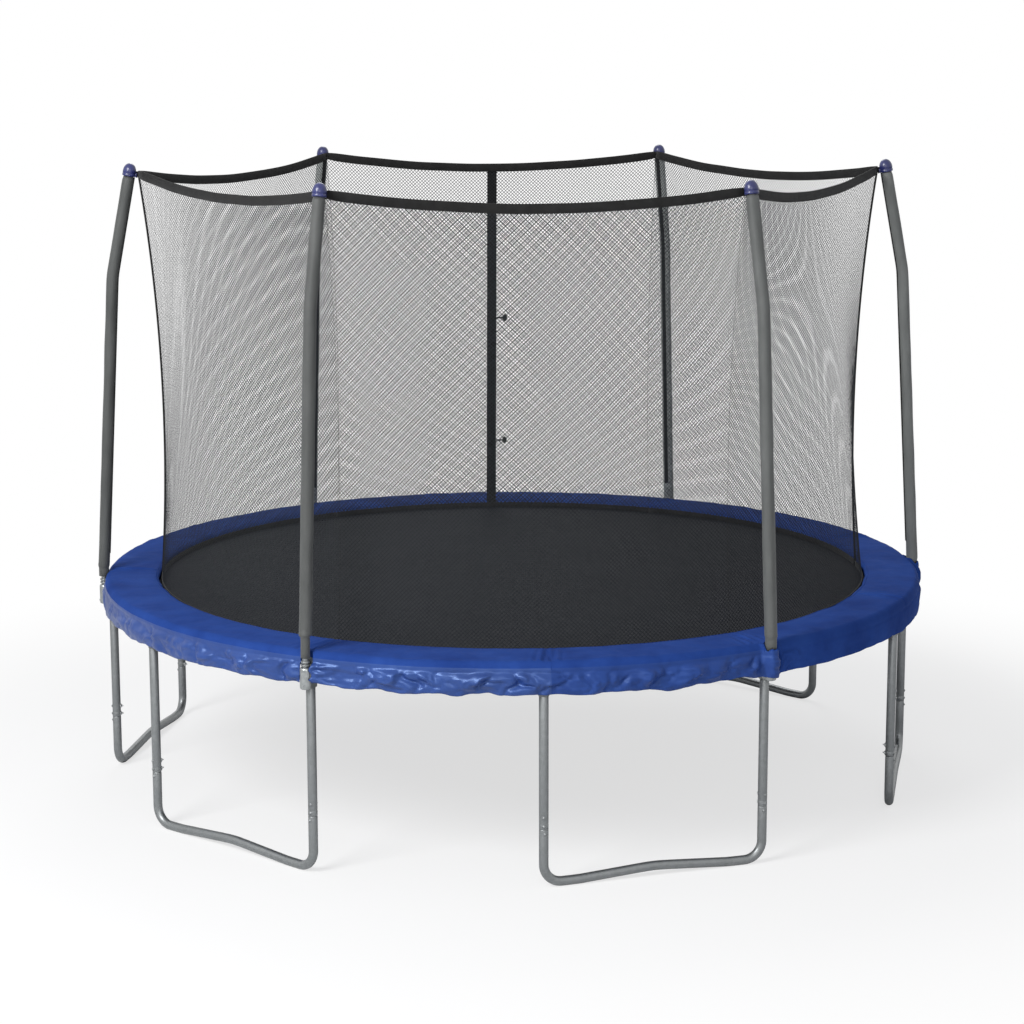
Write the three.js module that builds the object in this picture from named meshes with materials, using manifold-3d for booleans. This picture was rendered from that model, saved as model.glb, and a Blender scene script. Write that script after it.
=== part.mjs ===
// Backyard trampoline with a safety enclosure, in millimetres, +Z up.
// The origin is on the ground under the middle of the bed. A pole stands on +X and
// the zipped door faces +Y.
import * as THREE from 'three';
import { mergeVertices } from 'three/addons/utils/BufferGeometryUtils.js';
import Module from 'manifold-3d';

const wasm = await Module();
wasm.setup();

// Driving dimensions

// Frame: a round rail on W-shaped legs
const LEG_COUNT = 6;
const FRAME_DIAMETER = 3658;
const TUBE_RADIUS = 19;
const TUBE_SIDES = 8;
const RAIL_HEIGHT = 875;
const FIT_GAP = 0.3;
const SWAGE_DEPTH = 2.5;
const SPIGOT_LENGTH = 55;
const SOCKET_WALL = 2;
const SOCKET_LENGTH = 95;
const SOCKET_STOP = 3;
const RAIL_STEPS = 12;
const LEG_JOINT_HEIGHT = 240;
const LEG_BEND_RADIUS = 75;
const LEG_BEND_STEPS = 4;
const FOOT_FLAT = 60;
const BAR_SLOPE_DEG = 3.6;
const BAR_CREST_RADIUS = 700;

// Enclosure poles, their foam sleeves and caps
const POLE_RADIUS = 12.7;
const POLE_WEB = 5;
const POLE_FOOT_DROP = 105;
const POLE_UPRIGHT_RISE = 55;
const POLE_BEND_RISE = 1375;
const POLE_LEAN_DEG = 3.4;
const POLE_TIP_DEG = 10.9;
const POLE_TIP_LENGTH = 476;
const POLE_BEND_RADIUS = 420;
const SADDLE_HALF_WIDTH = 26.5;
const SADDLE_NOSE_RADIUS = 22;
const SADDLE_REACH = 10;
const FOAM_RADIUS = 27;
const FOAM_SIDES = 12;
const CAP_RADIUS = 29;
const CAP_HEIGHT = 56;
const CAP_BORE_DEPTH = 30;
const CAP_SIDES = 16;
const CAP_LUG_WIDTH = 16;
const CAP_LUG_HEIGHT = 18;

// Bed: woven mat, its springs and the padded cover
const SPRING_REACH = 206;
const MAT_THICKNESS = 3;
const MAT_RISE = 9;
const RING_WIDTH = 14;
const RING_THICKNESS = 5;
const SPRING_COUNT = 72;
const SPRING_RADIUS = 9;
const SPRING_WIRE_RADIUS = 2.5;
const SPRING_TAPER = 28;
const SPRING_SIDES = 4;
const PAD_OVERLAP = 10;
const PAD_THICKNESS = 20;
const PAD_COLUMNS = 72;
const SKIRT_EASE = 6;
const SKIRT_THICKNESS = 3;
const SKIRT_DROP = 114;
const SKIRT_FOLDS = 18;
const SKIRT_FOLD_DEPTH = 9;
const PAD_NOTCH_GAP = 2;

// Net, hung from the caps and tied down at the edge of the mat
const NET_FOOT_INSET = 9;
const NET_HEAD_DROP = 1.4;
const NET_SAG = 62;
const NET_WAIST = 52;
const NET_THICKNESS = 6;
const NET_STRAND = 10;
const NET_CELLS_ACROSS = 8;
const NET_CELLS_UP = 6;
const NET_TOP_BAND = 40;
const NET_FOOT_BAND = 26;
const NET_SIDE_BAND = 14;
const NET_SEAM_GAP = 0.4;

// Door: zip strip, slider, pull tab and two clips
const ZIP_WIDTH = 48;
const ZIP_THICKNESS = 2.4;
const ZIP_RIB_WIDTH = 6;
const ZIP_RIB_HEIGHT = 1.6;
const ZIP_FOOT_SHARE = 0.006;
const ZIP_HEAD_SHARE = 0.99;
const SLIDER_WIDTH = 15;
const SLIDER_LENGTH = 28;
const SLIDER_THICKNESS = 6;
const PULL_CLEARANCE = 8.4;
const EAR_THICKNESS = 2.2;
const EAR_HEIGHT = 5;
const PULL_WIDTH = 9;
const PULL_LENGTH = 38;
const PULL_THICKNESS = 2.6;
const PULL_HOLE_RADIUS = 2.4;
const CLIP_WIDTH = 26;
const CLIP_LENGTH = 36;
const CLIP_THICKNESS = 8;
const CLIP_STRAP_LENGTH = 34;
const CLIP_STRAP_WIDTH = 9;
const CLIP_STRAP_THICKNESS = 2;
const CLIP_SHARES = [0.20, 0.56];

// Sizes that follow from them
const OVERRUN = TUBE_RADIUS;
const TURN = 2 * Math.PI;
const legStep = TURN / LEG_COUNT;
const postSpread = legStep / 4;
const railRadius = FRAME_DIAMETER / 2 - TUBE_RADIUS;
const railFaceRadius = railRadius * Math.cos(Math.PI / (RAIL_STEPS * LEG_COUNT)) - TUBE_RADIUS;
const spigotRadius = TUBE_RADIUS - SWAGE_DEPTH;
const spigotBoreRadius = spigotRadius + FIT_GAP;
const spigotBoreDepth = SPIGOT_LENGTH + FIT_GAP;
const socketBoreRadius = TUBE_RADIUS + FIT_GAP;
const socketRadius = socketBoreRadius + SOCKET_WALL;
const socketTop = RAIL_HEIGHT - TUBE_RADIUS - SOCKET_STOP;
const matRadius = railRadius - SPRING_REACH;
const padInnerRadius = matRadius - PAD_OVERLAP;
const netFootRadius = padInnerRadius - NET_FOOT_INSET;
const poleBaseRadius = railRadius + TUBE_RADIUS + POLE_WEB + POLE_RADIUS;
const poleLean = THREE.MathUtils.degToRad(POLE_LEAN_DEG);
const poleTip = THREE.MathUtils.degToRad(POLE_TIP_DEG);
const matTop = RAIL_HEIGHT + MAT_RISE;
const saddleTop = RAIL_HEIGHT - TUBE_RADIUS;
const poleFootHeight = RAIL_HEIGHT - POLE_FOOT_DROP;
const poleUprightTop = RAIL_HEIGHT + POLE_UPRIGHT_RISE;
const poleBendHeight = RAIL_HEIGHT + POLE_BEND_RISE;
const poleTopHeight = poleBendHeight + POLE_TIP_LENGTH * Math.cos(poleTip);
const netTopHeight = poleTopHeight - NET_HEAD_DROP;
const foamFootHeight = RAIL_HEIGHT + TUBE_RADIUS + SWAGE_DEPTH;
const padBottom = RAIL_HEIGHT + TUBE_RADIUS + FIT_GAP;
const padTop = padBottom + PAD_THICKNESS;
const skirtInnerRadius = railRadius + TUBE_RADIUS + SKIRT_EASE;
const netFootHeight = matTop + FIT_GAP;

const steel = { color: 0x8d9294, roughness: 0.42, metalness: 0.85 };
const foam = { color: 0x6a6c6b, roughness: 0.9, metalness: 0 };
const capBlue = { color: 0x34408f, roughness: 0.35, metalness: 0 };
const padBlue = { color: 0x2f4c9c, roughness: 0.45, metalness: 0 };
const matBlack = { color: 0x2b2d30, roughness: 0.85, metalness: 0 };
const netBlack = { color: 0x2a2b2c, roughness: 0.8, metalness: 0 };
const springZinc = { color: 0xb4b8ba, roughness: 0.35, metalness: 0.9 };
const zipBlack = { color: 0x161616, roughness: 0.7, metalness: 0 };
const plasticBlack = { color: 0x1c1c1e, roughness: 0.5, metalness: 0 };

const trampoline = new THREE.Group();

function addMesh(parent, name, geometry, look) {
  const mesh = new THREE.Mesh(geometry, new THREE.MeshStandardMaterial(look));
  mesh.name = name;
  parent.add(mesh);
  return mesh;
}

// A closed geometry as a solid, for joining and cutting
function solidOf(geometry) {
  const bare = geometry.clone();
  bare.deleteAttribute('normal');
  bare.deleteAttribute('uv');
  const merged = mergeVertices(bare);
  const mesh = new wasm.Mesh({
    numProp: 3,
    vertProperties: new Float32Array(merged.attributes.position.array),
    triVerts: new Uint32Array(merged.index.array),
  });
  return new wasm.Manifold(mesh);
}

function geometryOf(solid) {
  const mesh = solid.getMesh();
  const geometry = new THREE.BufferGeometry();
  geometry.setAttribute('position', new THREE.BufferAttribute(new Float32Array(mesh.vertProperties), 3));
  geometry.setIndex(new THREE.BufferAttribute(new Uint32Array(mesh.triVerts), 1));
  geometry.computeVertexNormals();
  return geometry;
}

// A many-sided section whose flats touch the circle of the given radius
function section(radius, sides) {
  const corner = radius / Math.cos(Math.PI / sides);
  const points = [];
  for (let i = 0; i < sides; i += 1) {
    const angle = ((i + 0.5) / sides) * TURN;
    points.push(new THREE.Vector2(corner * Math.cos(angle), corner * Math.sin(angle)));
  }
  return new THREE.Shape(points);
}

// A route through chosen points, one extrusion step for each. On an arc about the origin
// its ends are cut square to the arc, elsewhere square to the first and last runs
class Route extends THREE.Curve {
  constructor(points, isArc) {
    super();
    this.points = points;
    this.isArc = isArc;
  }

  getPoint(t, target = new THREE.Vector3()) {
    const place = Math.min(Math.max(t, 0), 1) * (this.points.length - 1);
    const index = Math.min(Math.floor(place + 1e-6), this.points.length - 2);
    return target.lerpVectors(this.points[index], this.points[index + 1], place - index);
  }

  getPointAt(u, target) {
    return this.getPoint(u, target);
  }

  getTangent(t, target = new THREE.Vector3()) {
    const last = this.points.length - 1;
    const index = Math.round(t * last);
    if (this.isArc) {
      return target.set(-this.points[index].y, this.points[index].x, 0).normalize();
    }
    const before = this.points[Math.max(index - 1, 0)];
    const here = this.points[index];
    const after = this.points[Math.min(index + 1, last)];
    const arriving = here.clone().sub(before).normalize();
    const leaving = after.clone().sub(here).normalize();
    return target.addVectors(arriving, leaving).normalize();
  }

  getTangentAt(u, target) {
    return this.getTangent(u, target);
  }
}

function sweep(shape, points, isArc = false) {
  return new THREE.ExtrudeGeometry(shape, {
    steps: points.length - 1,
    curveSegments: 1,
    bevelEnabled: false,
    extrudePath: new Route(points, isArc),
  });
}

function tube(points, radius, isArc = false) {
  return sweep(section(radius, TUBE_SIDES), points, isArc);
}

// An upright prism between two heights
function prism(shape, bottom, top) {
  const geometry = new THREE.ExtrudeGeometry(shape, {
    depth: top - bottom,
    steps: 1,
    curveSegments: CAP_SIDES,
    bevelEnabled: false,
  });
  return geometry.translate(0, 0, bottom);
}

function post(radius, bottom, top, sides = TUBE_SIDES) {
  return prism(section(radius, sides), bottom, top);
}

function arcTube(radius, from, to, steps) {
  const points = [];
  for (let i = 0; i <= steps; i += 1) {
    const angle = from + ((to - from) * i) / steps;
    points.push(new THREE.Vector3(railRadius * Math.cos(angle), railRadius * Math.sin(angle), RAIL_HEIGHT));
  }
  return solidOf(tube(points, radius, true));
}

// Corners joined by straight runs, each inner corner eased over the arc of the bend radius
function roundedPoints(corners, bendRadius) {
  const points = [corners[0]];
  for (let i = 1; i < corners.length - 1; i += 1) {
    const back = corners[i - 1].clone().sub(corners[i]).normalize();
    const ahead = corners[i + 1].clone().sub(corners[i]).normalize();
    const half = back.angleTo(ahead) / 2;
    const trim = bendRadius / Math.tan(half);
    points.push(corners[i].clone().addScaledVector(back, trim));
    points.push(corners[i].clone().addScaledVector(ahead, trim));
  }
  points.push(corners[corners.length - 1]);
  return points;
}

// Top rail: an arc with a swaged end that plugs into the next arc, and two welded sockets
function makeRail() {
  const half = legStep / 2;
  const seam = FIT_GAP / railRadius / 2;
  const spigotAngle = SPIGOT_LENGTH / railRadius;
  const boreAngle = spigotBoreDepth / railRadius;
  const overrun = OVERRUN / railRadius;
  let rail = arcTube(TUBE_RADIUS, -half + seam, half - seam, RAIL_STEPS);
  rail = rail.subtract(arcTube(spigotBoreRadius, -half - overrun, -half + boreAngle, 2));
  rail = rail.add(arcTube(spigotRadius, half - overrun, half + spigotAngle, 2));
  for (const side of [-1, 1]) {
    const x = railRadius * Math.cos(postSpread);
    const y = side * railRadius * Math.sin(postSpread);
    const socket = post(socketRadius, RAIL_HEIGHT - SOCKET_LENGTH, RAIL_HEIGHT).translate(x, y, 0);
    rail = rail.add(solidOf(socket));
    const bottom = RAIL_HEIGHT - SOCKET_LENGTH - OVERRUN;
    rail = rail.subtract(solidOf(post(socketBoreRadius, bottom, socketTop).translate(x, y, 0)));
  }
  return geometryOf(rail);
}

// Upright of a leg: its swaged foot plugs into the leg base, its head into a rail socket
function makeLegPost() {
  const top = socketTop - FIT_GAP;
  const shoulder = LEG_JOINT_HEIGHT + FIT_GAP;
  const body = solidOf(post(TUBE_RADIUS, shoulder, top));
  const spigot = solidOf(post(spigotRadius, LEG_JOINT_HEIGHT - SPIGOT_LENGTH, shoulder + OVERRUN));
  return geometryOf(body.add(spigot));
}

// Leg base: one bent tube, two risers, a flat foot under each and a bar that rises to the middle
function makeLegBase() {
  const halfSpan = railRadius * Math.sin(postSpread);
  const slope = THREE.MathUtils.degToRad(BAR_SLOPE_DEG);
  const bendCentre = TUBE_RADIUS + LEG_BEND_RADIUS;
  const left = [new THREE.Vector3(0, -halfSpan, LEG_JOINT_HEIGHT)];
  for (let i = 0; i <= LEG_BEND_STEPS; i += 1) {
    const angle = (Math.PI / 2) * (i / LEG_BEND_STEPS);
    const y = -halfSpan + LEG_BEND_RADIUS * (1 - Math.cos(angle));
    left.push(new THREE.Vector3(0, y, bendCentre - LEG_BEND_RADIUS * Math.sin(angle)));
  }
  const footEnd = -halfSpan + LEG_BEND_RADIUS + FOOT_FLAT;
  left.push(new THREE.Vector3(0, footEnd, TUBE_RADIUS));
  const crestHalf = BAR_CREST_RADIUS * Math.sin(slope);
  const crestFoot = TUBE_RADIUS + (-crestHalf - footEnd) * Math.tan(slope);
  left.push(new THREE.Vector3(0, -crestHalf, crestFoot));
  const crest = crestFoot + BAR_CREST_RADIUS * (1 - Math.cos(slope));
  const right = left.map((point) => new THREE.Vector3(0, -point.y, point.z)).reverse();
  const points = [...left, new THREE.Vector3(0, 0, crest), ...right];
  let base = solidOf(tube(points, TUBE_RADIUS));
  for (const side of [-1, 1]) {
    const bottom = LEG_JOINT_HEIGHT - spigotBoreDepth;
    const bore = post(spigotBoreRadius, bottom, LEG_JOINT_HEIGHT + OVERRUN);
    base = base.subtract(solidOf(bore.translate(0, side * halfSpan, 0)));
  }
  return geometryOf(base);
}

// Centre line of a pole in the plane through its foot and the middle of the bed
function poleRoute(bottom, trim) {
  const bend = poleBendHeight - poleUprightTop;
  const bendRadius = poleBaseRadius - bend * Math.tan(poleLean);
  const tip = POLE_TIP_LENGTH - trim;
  const corners = [
    new THREE.Vector3(poleBaseRadius, 0, bottom),
    new THREE.Vector3(poleBaseRadius, 0, poleUprightTop),
    new THREE.Vector3(bendRadius, 0, poleBendHeight),
    new THREE.Vector3(bendRadius - tip * Math.sin(poleTip), 0, poleBendHeight + tip * Math.cos(poleTip)),
  ];
  return roundedPoints(corners, POLE_BEND_RADIUS);
}

// Half-moon saddle, welded to the foot of the pole, that hugs the leg's socket
function saddleShape() {
  const tail = railRadius - SADDLE_REACH;
  const shoulder = poleBaseRadius - SADDLE_NOSE_RADIUS;
  const shape = new THREE.Shape();
  shape.moveTo(tail, -SADDLE_HALF_WIDTH);
  shape.lineTo(shoulder, -SADDLE_HALF_WIDTH);
  const steps = CAP_SIDES / 2;
  for (let i = 0; i <= steps; i += 1) {
    const angle = -Math.PI / 2 + (Math.PI * i) / steps;
    const reach = SADDLE_NOSE_RADIUS * Math.cos(angle);
    shape.lineTo(poleBaseRadius + reach, SADDLE_NOSE_RADIUS * Math.sin(angle));
  }
  shape.lineTo(shoulder, SADDLE_HALF_WIDTH);
  shape.lineTo(tail, SADDLE_HALF_WIDTH);
  shape.closePath();
  return shape;
}

function makePole() {
  const tubeSolid = solidOf(tube(poleRoute(poleFootHeight, 0), POLE_RADIUS));
  const saddle = solidOf(prism(saddleShape(), poleFootHeight, saddleTop));
  const seat = post(socketRadius + FIT_GAP, poleFootHeight - OVERRUN, saddleTop + OVERRUN);
  seat.rotateZ(-postSpread).translate(railRadius, 0, 0);
  return geometryOf(saddle.subtract(solidOf(seat)).add(tubeSolid));
}

function makeFoamSleeve() {
  const shape = section(FOAM_RADIUS, FOAM_SIDES);
  shape.holes.push(section(POLE_RADIUS + FIT_GAP, TUBE_SIDES));
  return sweep(shape, poleRoute(foamFootHeight, CAP_BORE_DEPTH + FIT_GAP));
}

// Domed cap over the end of the pole, with a lug towards the net
function makeCap() {
  const bore = (POLE_RADIUS + FIT_GAP) / Math.cos(Math.PI / TUBE_SIDES);
  const domeShares = [[1, 0], [1, 0.52], [0.8, 0.83], [0.42, 0.97]];
  const roof = CAP_BORE_DEPTH + FIT_GAP;
  const profile = [new THREE.Vector2(0, roof), new THREE.Vector2(bore, roof), new THREE.Vector2(bore, 0)];
  for (const [across, up] of domeShares) {
    profile.push(new THREE.Vector2(across * CAP_RADIUS, up * CAP_HEIGHT));
  }
  profile.push(new THREE.Vector2(0, CAP_HEIGHT));
  const dome = new THREE.LatheGeometry(profile, CAP_SIDES).rotateX(Math.PI / 2);
  const route = poleRoute(foamFootHeight, CAP_BORE_DEPTH);
  const seat = route[route.length - 1];
  dome.rotateY(-poleTip).translate(seat.x, 0, seat.z);
  const lugReach = seat.x - bore - netCornerRadius() - NET_THICKNESS / 2 - FIT_GAP;
  const lug = new THREE.BoxGeometry(lugReach, CAP_LUG_WIDTH, CAP_LUG_HEIGHT);
  lug.translate(seat.x - bore - lugReach / 2, 0, seat.z + CAP_LUG_HEIGHT / 2);
  const clear = tube(poleRoute(foamFootHeight, 0), POLE_RADIUS + FIT_GAP);
  return geometryOf(solidOf(dome).add(solidOf(lug)).subtract(solidOf(clear)));
}

// Radius at which the net's corners hang beside the caps
function netCornerRadius() {
  const route = poleRoute(foamFootHeight, 0);
  const end = route[route.length - 1];
  return end.x - CAP_RADIUS - NET_THICKNESS / 2 - SOCKET_STOP;
}

// Middle of the net's thickness: share of the way across a panel and up it
function netPoint(across, up, start) {
  const seam = NET_SEAM_GAP / netFootRadius / 2;
  const from = start + seam;
  const to = start + legStep - seam;
  const angle = from + (to - from) * across;
  const foot = new THREE.Vector3(
    netFootRadius * Math.cos(angle),
    netFootRadius * Math.sin(angle),
    netFootHeight,
  );
  const corner = netCornerRadius();
  const head = new THREE.Vector3(corner * Math.cos(from), corner * Math.sin(from), netTopHeight);
  head.lerp(new THREE.Vector3(corner * Math.cos(to), corner * Math.sin(to), netTopHeight), across);
  head.z -= NET_SAG * 4 * across * (1 - across);
  const point = foot.lerp(head, up);
  const waist = NET_WAIST * 4 * up * (1 - up) * Math.cos(Math.PI * across) ** 2;
  const radius = Math.hypot(point.x, point.y);
  point.x *= (radius - waist) / radius;
  point.y *= (radius - waist) / radius;
  return point;
}

// Lines across one side of the net's border: its ends, its bands and the tips of its half gaps
function borderLines(start, count, cell, reach, total) {
  const lines = [0, start];
  for (let i = 1; i < count; i += 2) {
    lines.push(start + i * cell - reach, start + i * cell + reach);
  }
  lines.push(start + count * cell, total);
  return lines;
}

// Face of the flat lattice as points and triangles: strands, their crossings and the border
function netFace(width, height) {
  const cellWidth = (width - 2 * NET_SIDE_BAND) / NET_CELLS_ACROSS;
  const cellHeight = (height - NET_TOP_BAND - NET_FOOT_BAND) / NET_CELLS_UP;
  const slant = Math.hypot(cellWidth, cellHeight) * (NET_STRAND / 2);
  const reachX = cellWidth - slant / cellHeight;
  const reachY = cellHeight - slant / cellWidth;
  const points = [];
  const faces = [];
  const known = new Map();
  const vertex = (x, y) => {
    const key = `${x.toFixed(2)} ${y.toFixed(2)}`;
    if (!known.has(key)) {
      known.set(key, points.length);
      points.push(new THREE.Vector2(x, y));
    }
    return known.get(key);
  };
  const polygon = (corners) => {
    for (let i = 2; i < corners.length; i += 1) {
      faces.push([corners[0], corners[i - 1], corners[i]]);
    }
  };
  // A tip of the gap at a place in the grid, or the place itself with no steps
  const tip = (i, j, stepX = 0, stepY = 0) => {
    const x = NET_SIDE_BAND + i * cellWidth + stepX * reachX;
    return vertex(x, NET_FOOT_BAND + j * cellHeight + stepY * reachY);
  };
  for (let i = 0; i < NET_CELLS_ACROSS; i += 1) {
    for (let j = 0; j < NET_CELLS_UP; j += 1) {
      if ((i + j) % 2 === 0) {
        polygon([tip(i + 1, j, -1, 0), tip(i + 1, j, 0, 1), tip(i, j + 1, 1, 0), tip(i, j + 1, 0, -1)]);
      } else {
        polygon([tip(i, j, 1, 0), tip(i + 1, j + 1, 0, -1), tip(i + 1, j + 1, -1, 0), tip(i, j, 0, 1)]);
      }
    }
  }
  for (let i = 0; i <= NET_CELLS_ACROSS; i += 1) {
    for (let j = i % 2; j <= NET_CELLS_UP; j += 2) {
      const corners = [];
      if (i > 0) {
        corners.push(tip(i - 1, j, 1, 0));
      }
      if (j > 0) {
        corners.push(tip(i, j - 1, 0, 1));
      }
      if (i < NET_CELLS_ACROSS) {
        corners.push(tip(i + 1, j, -1, 0));
      }
      if (j < NET_CELLS_UP) {
        corners.push(tip(i, j + 1, 0, -1));
      }
      if (corners.length === 2) {
        corners.splice(i > 0 && j === 0 ? 1 : 0, 0, tip(i, j));
      }
      polygon(corners);
    }
  }
  const linesX = borderLines(NET_SIDE_BAND, NET_CELLS_ACROSS, cellWidth, reachX, width);
  const linesY = borderLines(NET_FOOT_BAND, NET_CELLS_UP, cellHeight, reachY, height);
  const strip = (x0, x1, y0, y1) => polygon([vertex(x0, y0), vertex(x1, y0), vertex(x1, y1), vertex(x0, y1)]);
  for (let i = 1; i < linesX.length; i += 1) {
    strip(linesX[i - 1], linesX[i], linesY[0], linesY[1]);
    strip(linesX[i - 1], linesX[i], linesY[linesY.length - 2], linesY[linesY.length - 1]);
  }
  for (let j = 2; j < linesY.length - 1; j += 1) {
    strip(linesX[0], linesX[1], linesY[j - 1], linesY[j]);
    strip(linesX[linesX.length - 2], linesX[linesX.length - 1], linesY[j - 1], linesY[j]);
  }
  return { points, faces };
}

// The flat lattice given its thickness and bent to the shape it hangs in
function makeNetPanel(start) {
  const width = legStep * netFootRadius;
  const height = netTopHeight - netFootHeight;
  const { points, faces } = netFace(width, height);
  const positions = [];
  for (const side of [-1, 1]) {
    for (const flat of points) {
      const point = netPoint(flat.x / width, flat.y / height, start);
      const radius = Math.hypot(point.x, point.y);
      const scale = (radius + (side * NET_THICKNESS) / 2) / radius;
      positions.push(point.x * scale, point.y * scale, point.z);
    }
  }
  const index = [];
  const edges = new Map();
  const outer = points.length;
  for (const [a, b, c] of faces) {
    index.push(a + outer, b + outer, c + outer, a, c, b);
    for (const [from, to] of [[a, b], [b, c], [c, a]]) {
      edges.set(`${from} ${to}`, [from, to]);
    }
  }
  for (const [from, to] of edges.values()) {
    if (!edges.has(`${to} ${from}`)) {
      index.push(from, to, to + outer, from, to + outer, from + outer);
    }
  }
  const geometry = new THREE.BufferGeometry();
  geometry.setAttribute('position', new THREE.Float32BufferAttribute(positions, 3));
  geometry.setIndex(index);
  geometry.computeVertexNormals();
  return geometry;
}

// Woven mat
function makeMat() {
  return post(matRadius, matTop - MAT_THICKNESS, matTop, SPRING_COUNT / 2);
}

// Edge webbing of the mat and the springs that pull it to the rail, one body
function makeSprings() {
  const inner = matRadius + FIT_GAP;
  const outer = inner + RING_WIDTH;
  const middle = matTop - MAT_THICKNESS / 2;
  const bottom = middle - RING_THICKNESS / 2;
  const ring = section(outer, SPRING_COUNT / 2);
  ring.holes.push(section(inner, SPRING_COUNT / 2));
  let springs = solidOf(prism(ring, bottom, bottom + RING_THICKNESS));
  const from = new THREE.Vector3(inner + RING_WIDTH / 3, 0, middle);
  const to = new THREE.Vector3(railFaceRadius - FIT_GAP, 0, RAIL_HEIGHT + SPRING_WIRE_RADIUS);
  const length = from.distanceTo(to);
  const profile = [
    new THREE.Vector2(0, 0),
    new THREE.Vector2(SPRING_RADIUS, SPRING_TAPER),
    new THREE.Vector2(SPRING_RADIUS, length - SPRING_TAPER),
    new THREE.Vector2(0, length),
  ];
  const tilt = Math.atan2(to.z - from.z, to.x - from.x);
  const spring = new THREE.LatheGeometry(profile, SPRING_SIDES);
  spring.rotateZ(-Math.PI / 2).rotateY(-tilt).translate(from.x, 0, from.z);
  for (let i = 0; i < SPRING_COUNT; i += 1) {
    const angle = (TURN * (i + 0.5)) / SPRING_COUNT;
    springs = springs.add(solidOf(spring.clone().rotateZ(angle)));
  }
  return geometryOf(springs);
}

// Padded cover: a crowned ring over the springs with a skirt that hangs in folds
function makePad() {
  const skirtOuter = skirtInnerRadius + SKIRT_THICKNESS;
  const width = skirtOuter - padInnerRadius;
  const skirtBottom = padTop - SKIRT_DROP - PAD_THICKNESS / 2;
  const lipHeight = matTop + SOCKET_STOP + FIT_GAP;
  const crownShares = [[0, 0.6], [0.2, 1], [0.55, 1.12], [0.9, 1], [1, 0.5]];
  const profile = [[padInnerRadius + width * 0.012, lipHeight, 0]];
  for (const [across, up] of crownShares) {
    profile.push([padInnerRadius + across * width, padBottom + up * PAD_THICKNESS, 0]);
  }
  profile.push([skirtOuter, skirtBottom, 1]);
  profile.push([skirtInnerRadius, skirtBottom, 1]);
  profile.push([skirtInnerRadius, padBottom, 0]);
  profile.push([padInnerRadius + width * 0.25, padBottom, 0]);
  const positions = [];
  const index = [];
  const rows = profile.length;
  for (let i = 0; i < PAD_COLUMNS; i += 1) {
    const angle = (TURN * i) / PAD_COLUMNS;
    const wave = 0.5 - 0.5 * Math.cos(SKIRT_FOLDS * angle + Math.sin(LEG_COUNT * angle / 2));
    for (let j = 0; j < rows; j += 1) {
      const [radius, height, hangs] = profile[j];
      const reach = radius + hangs * wave * SKIRT_FOLD_DEPTH;
      positions.push(reach * Math.cos(angle), reach * Math.sin(angle), height);
      const next = ((i + 1) % PAD_COLUMNS) * rows;
      const here = i * rows;
      const up = (j + 1) % rows;
      index.push(here + j, here + up, next + j);
      index.push(next + j, here + up, next + up);
    }
  }
  const geometry = new THREE.BufferGeometry();
  geometry.setAttribute('position', new THREE.Float32BufferAttribute(positions, 3));
  geometry.setIndex(index);
  let pad = solidOf(geometry);
  const notch = post(FOAM_RADIUS + PAD_NOTCH_GAP, skirtBottom - OVERRUN, padTop + OVERRUN, FOAM_SIDES);
  notch.translate(poleBaseRadius, 0, 0);
  for (let k = 0; k < LEG_COUNT; k += 1) {
    pad = pad.subtract(solidOf(notch.clone().rotateZ(k * legStep)));
  }
  return geometryOf(pad);
}

// The door's own frame: X across, Y out of the net, Z up the zip, at the foot of the panel's middle
function doorFrame() {
  const doorStart = legStep;
  const foot = netPoint(0.5, 0, doorStart);
  const head = netPoint(0.5, 1, doorStart);
  const up = head.clone().sub(foot).normalize();
  const across = new THREE.Vector3(1, 0, 0);
  const out = up.clone().cross(across).normalize();
  const frame = new THREE.Group();
  frame.matrixAutoUpdate = false;
  frame.matrix.makeBasis(across, out, up).setPosition(foot);
  frame.matrix.decompose(frame.position, frame.quaternion, frame.scale);
  return { frame, length: head.distanceTo(foot) };
}

function box(width, depth, height, x, y, z) {
  return solidOf(new THREE.BoxGeometry(width, depth, height).translate(x, y, z));
}

function makeZipStrip(length) {
  const bottom = ZIP_FOOT_SHARE * length;
  const top = ZIP_HEAD_SHARE * length;
  const back = NET_THICKNESS / 2 + FIT_GAP;
  const middle = (bottom + top) / 2;
  const tape = box(ZIP_WIDTH, ZIP_THICKNESS, top - bottom, 0, back + ZIP_THICKNESS / 2, middle);
  const ribDepth = ZIP_RIB_HEIGHT + ZIP_THICKNESS / 2;
  const ribMiddle = back + ZIP_THICKNESS + ZIP_RIB_HEIGHT - ribDepth / 2;
  const rib = box(ZIP_RIB_WIDTH, ribDepth, top - bottom, 0, ribMiddle, middle);
  return geometryOf(tape.add(rib));
}

const zipFront = NET_THICKNESS / 2 + FIT_GAP + ZIP_THICKNESS;
const sliderBack = zipFront + FIT_GAP;
const sliderFront = sliderBack + SLIDER_THICKNESS;
const sliderMiddle = padTop - netFootHeight + PULL_CLEARANCE + PULL_LENGTH;
const pullPivotOut = sliderFront + EAR_HEIGHT / 2;

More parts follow.
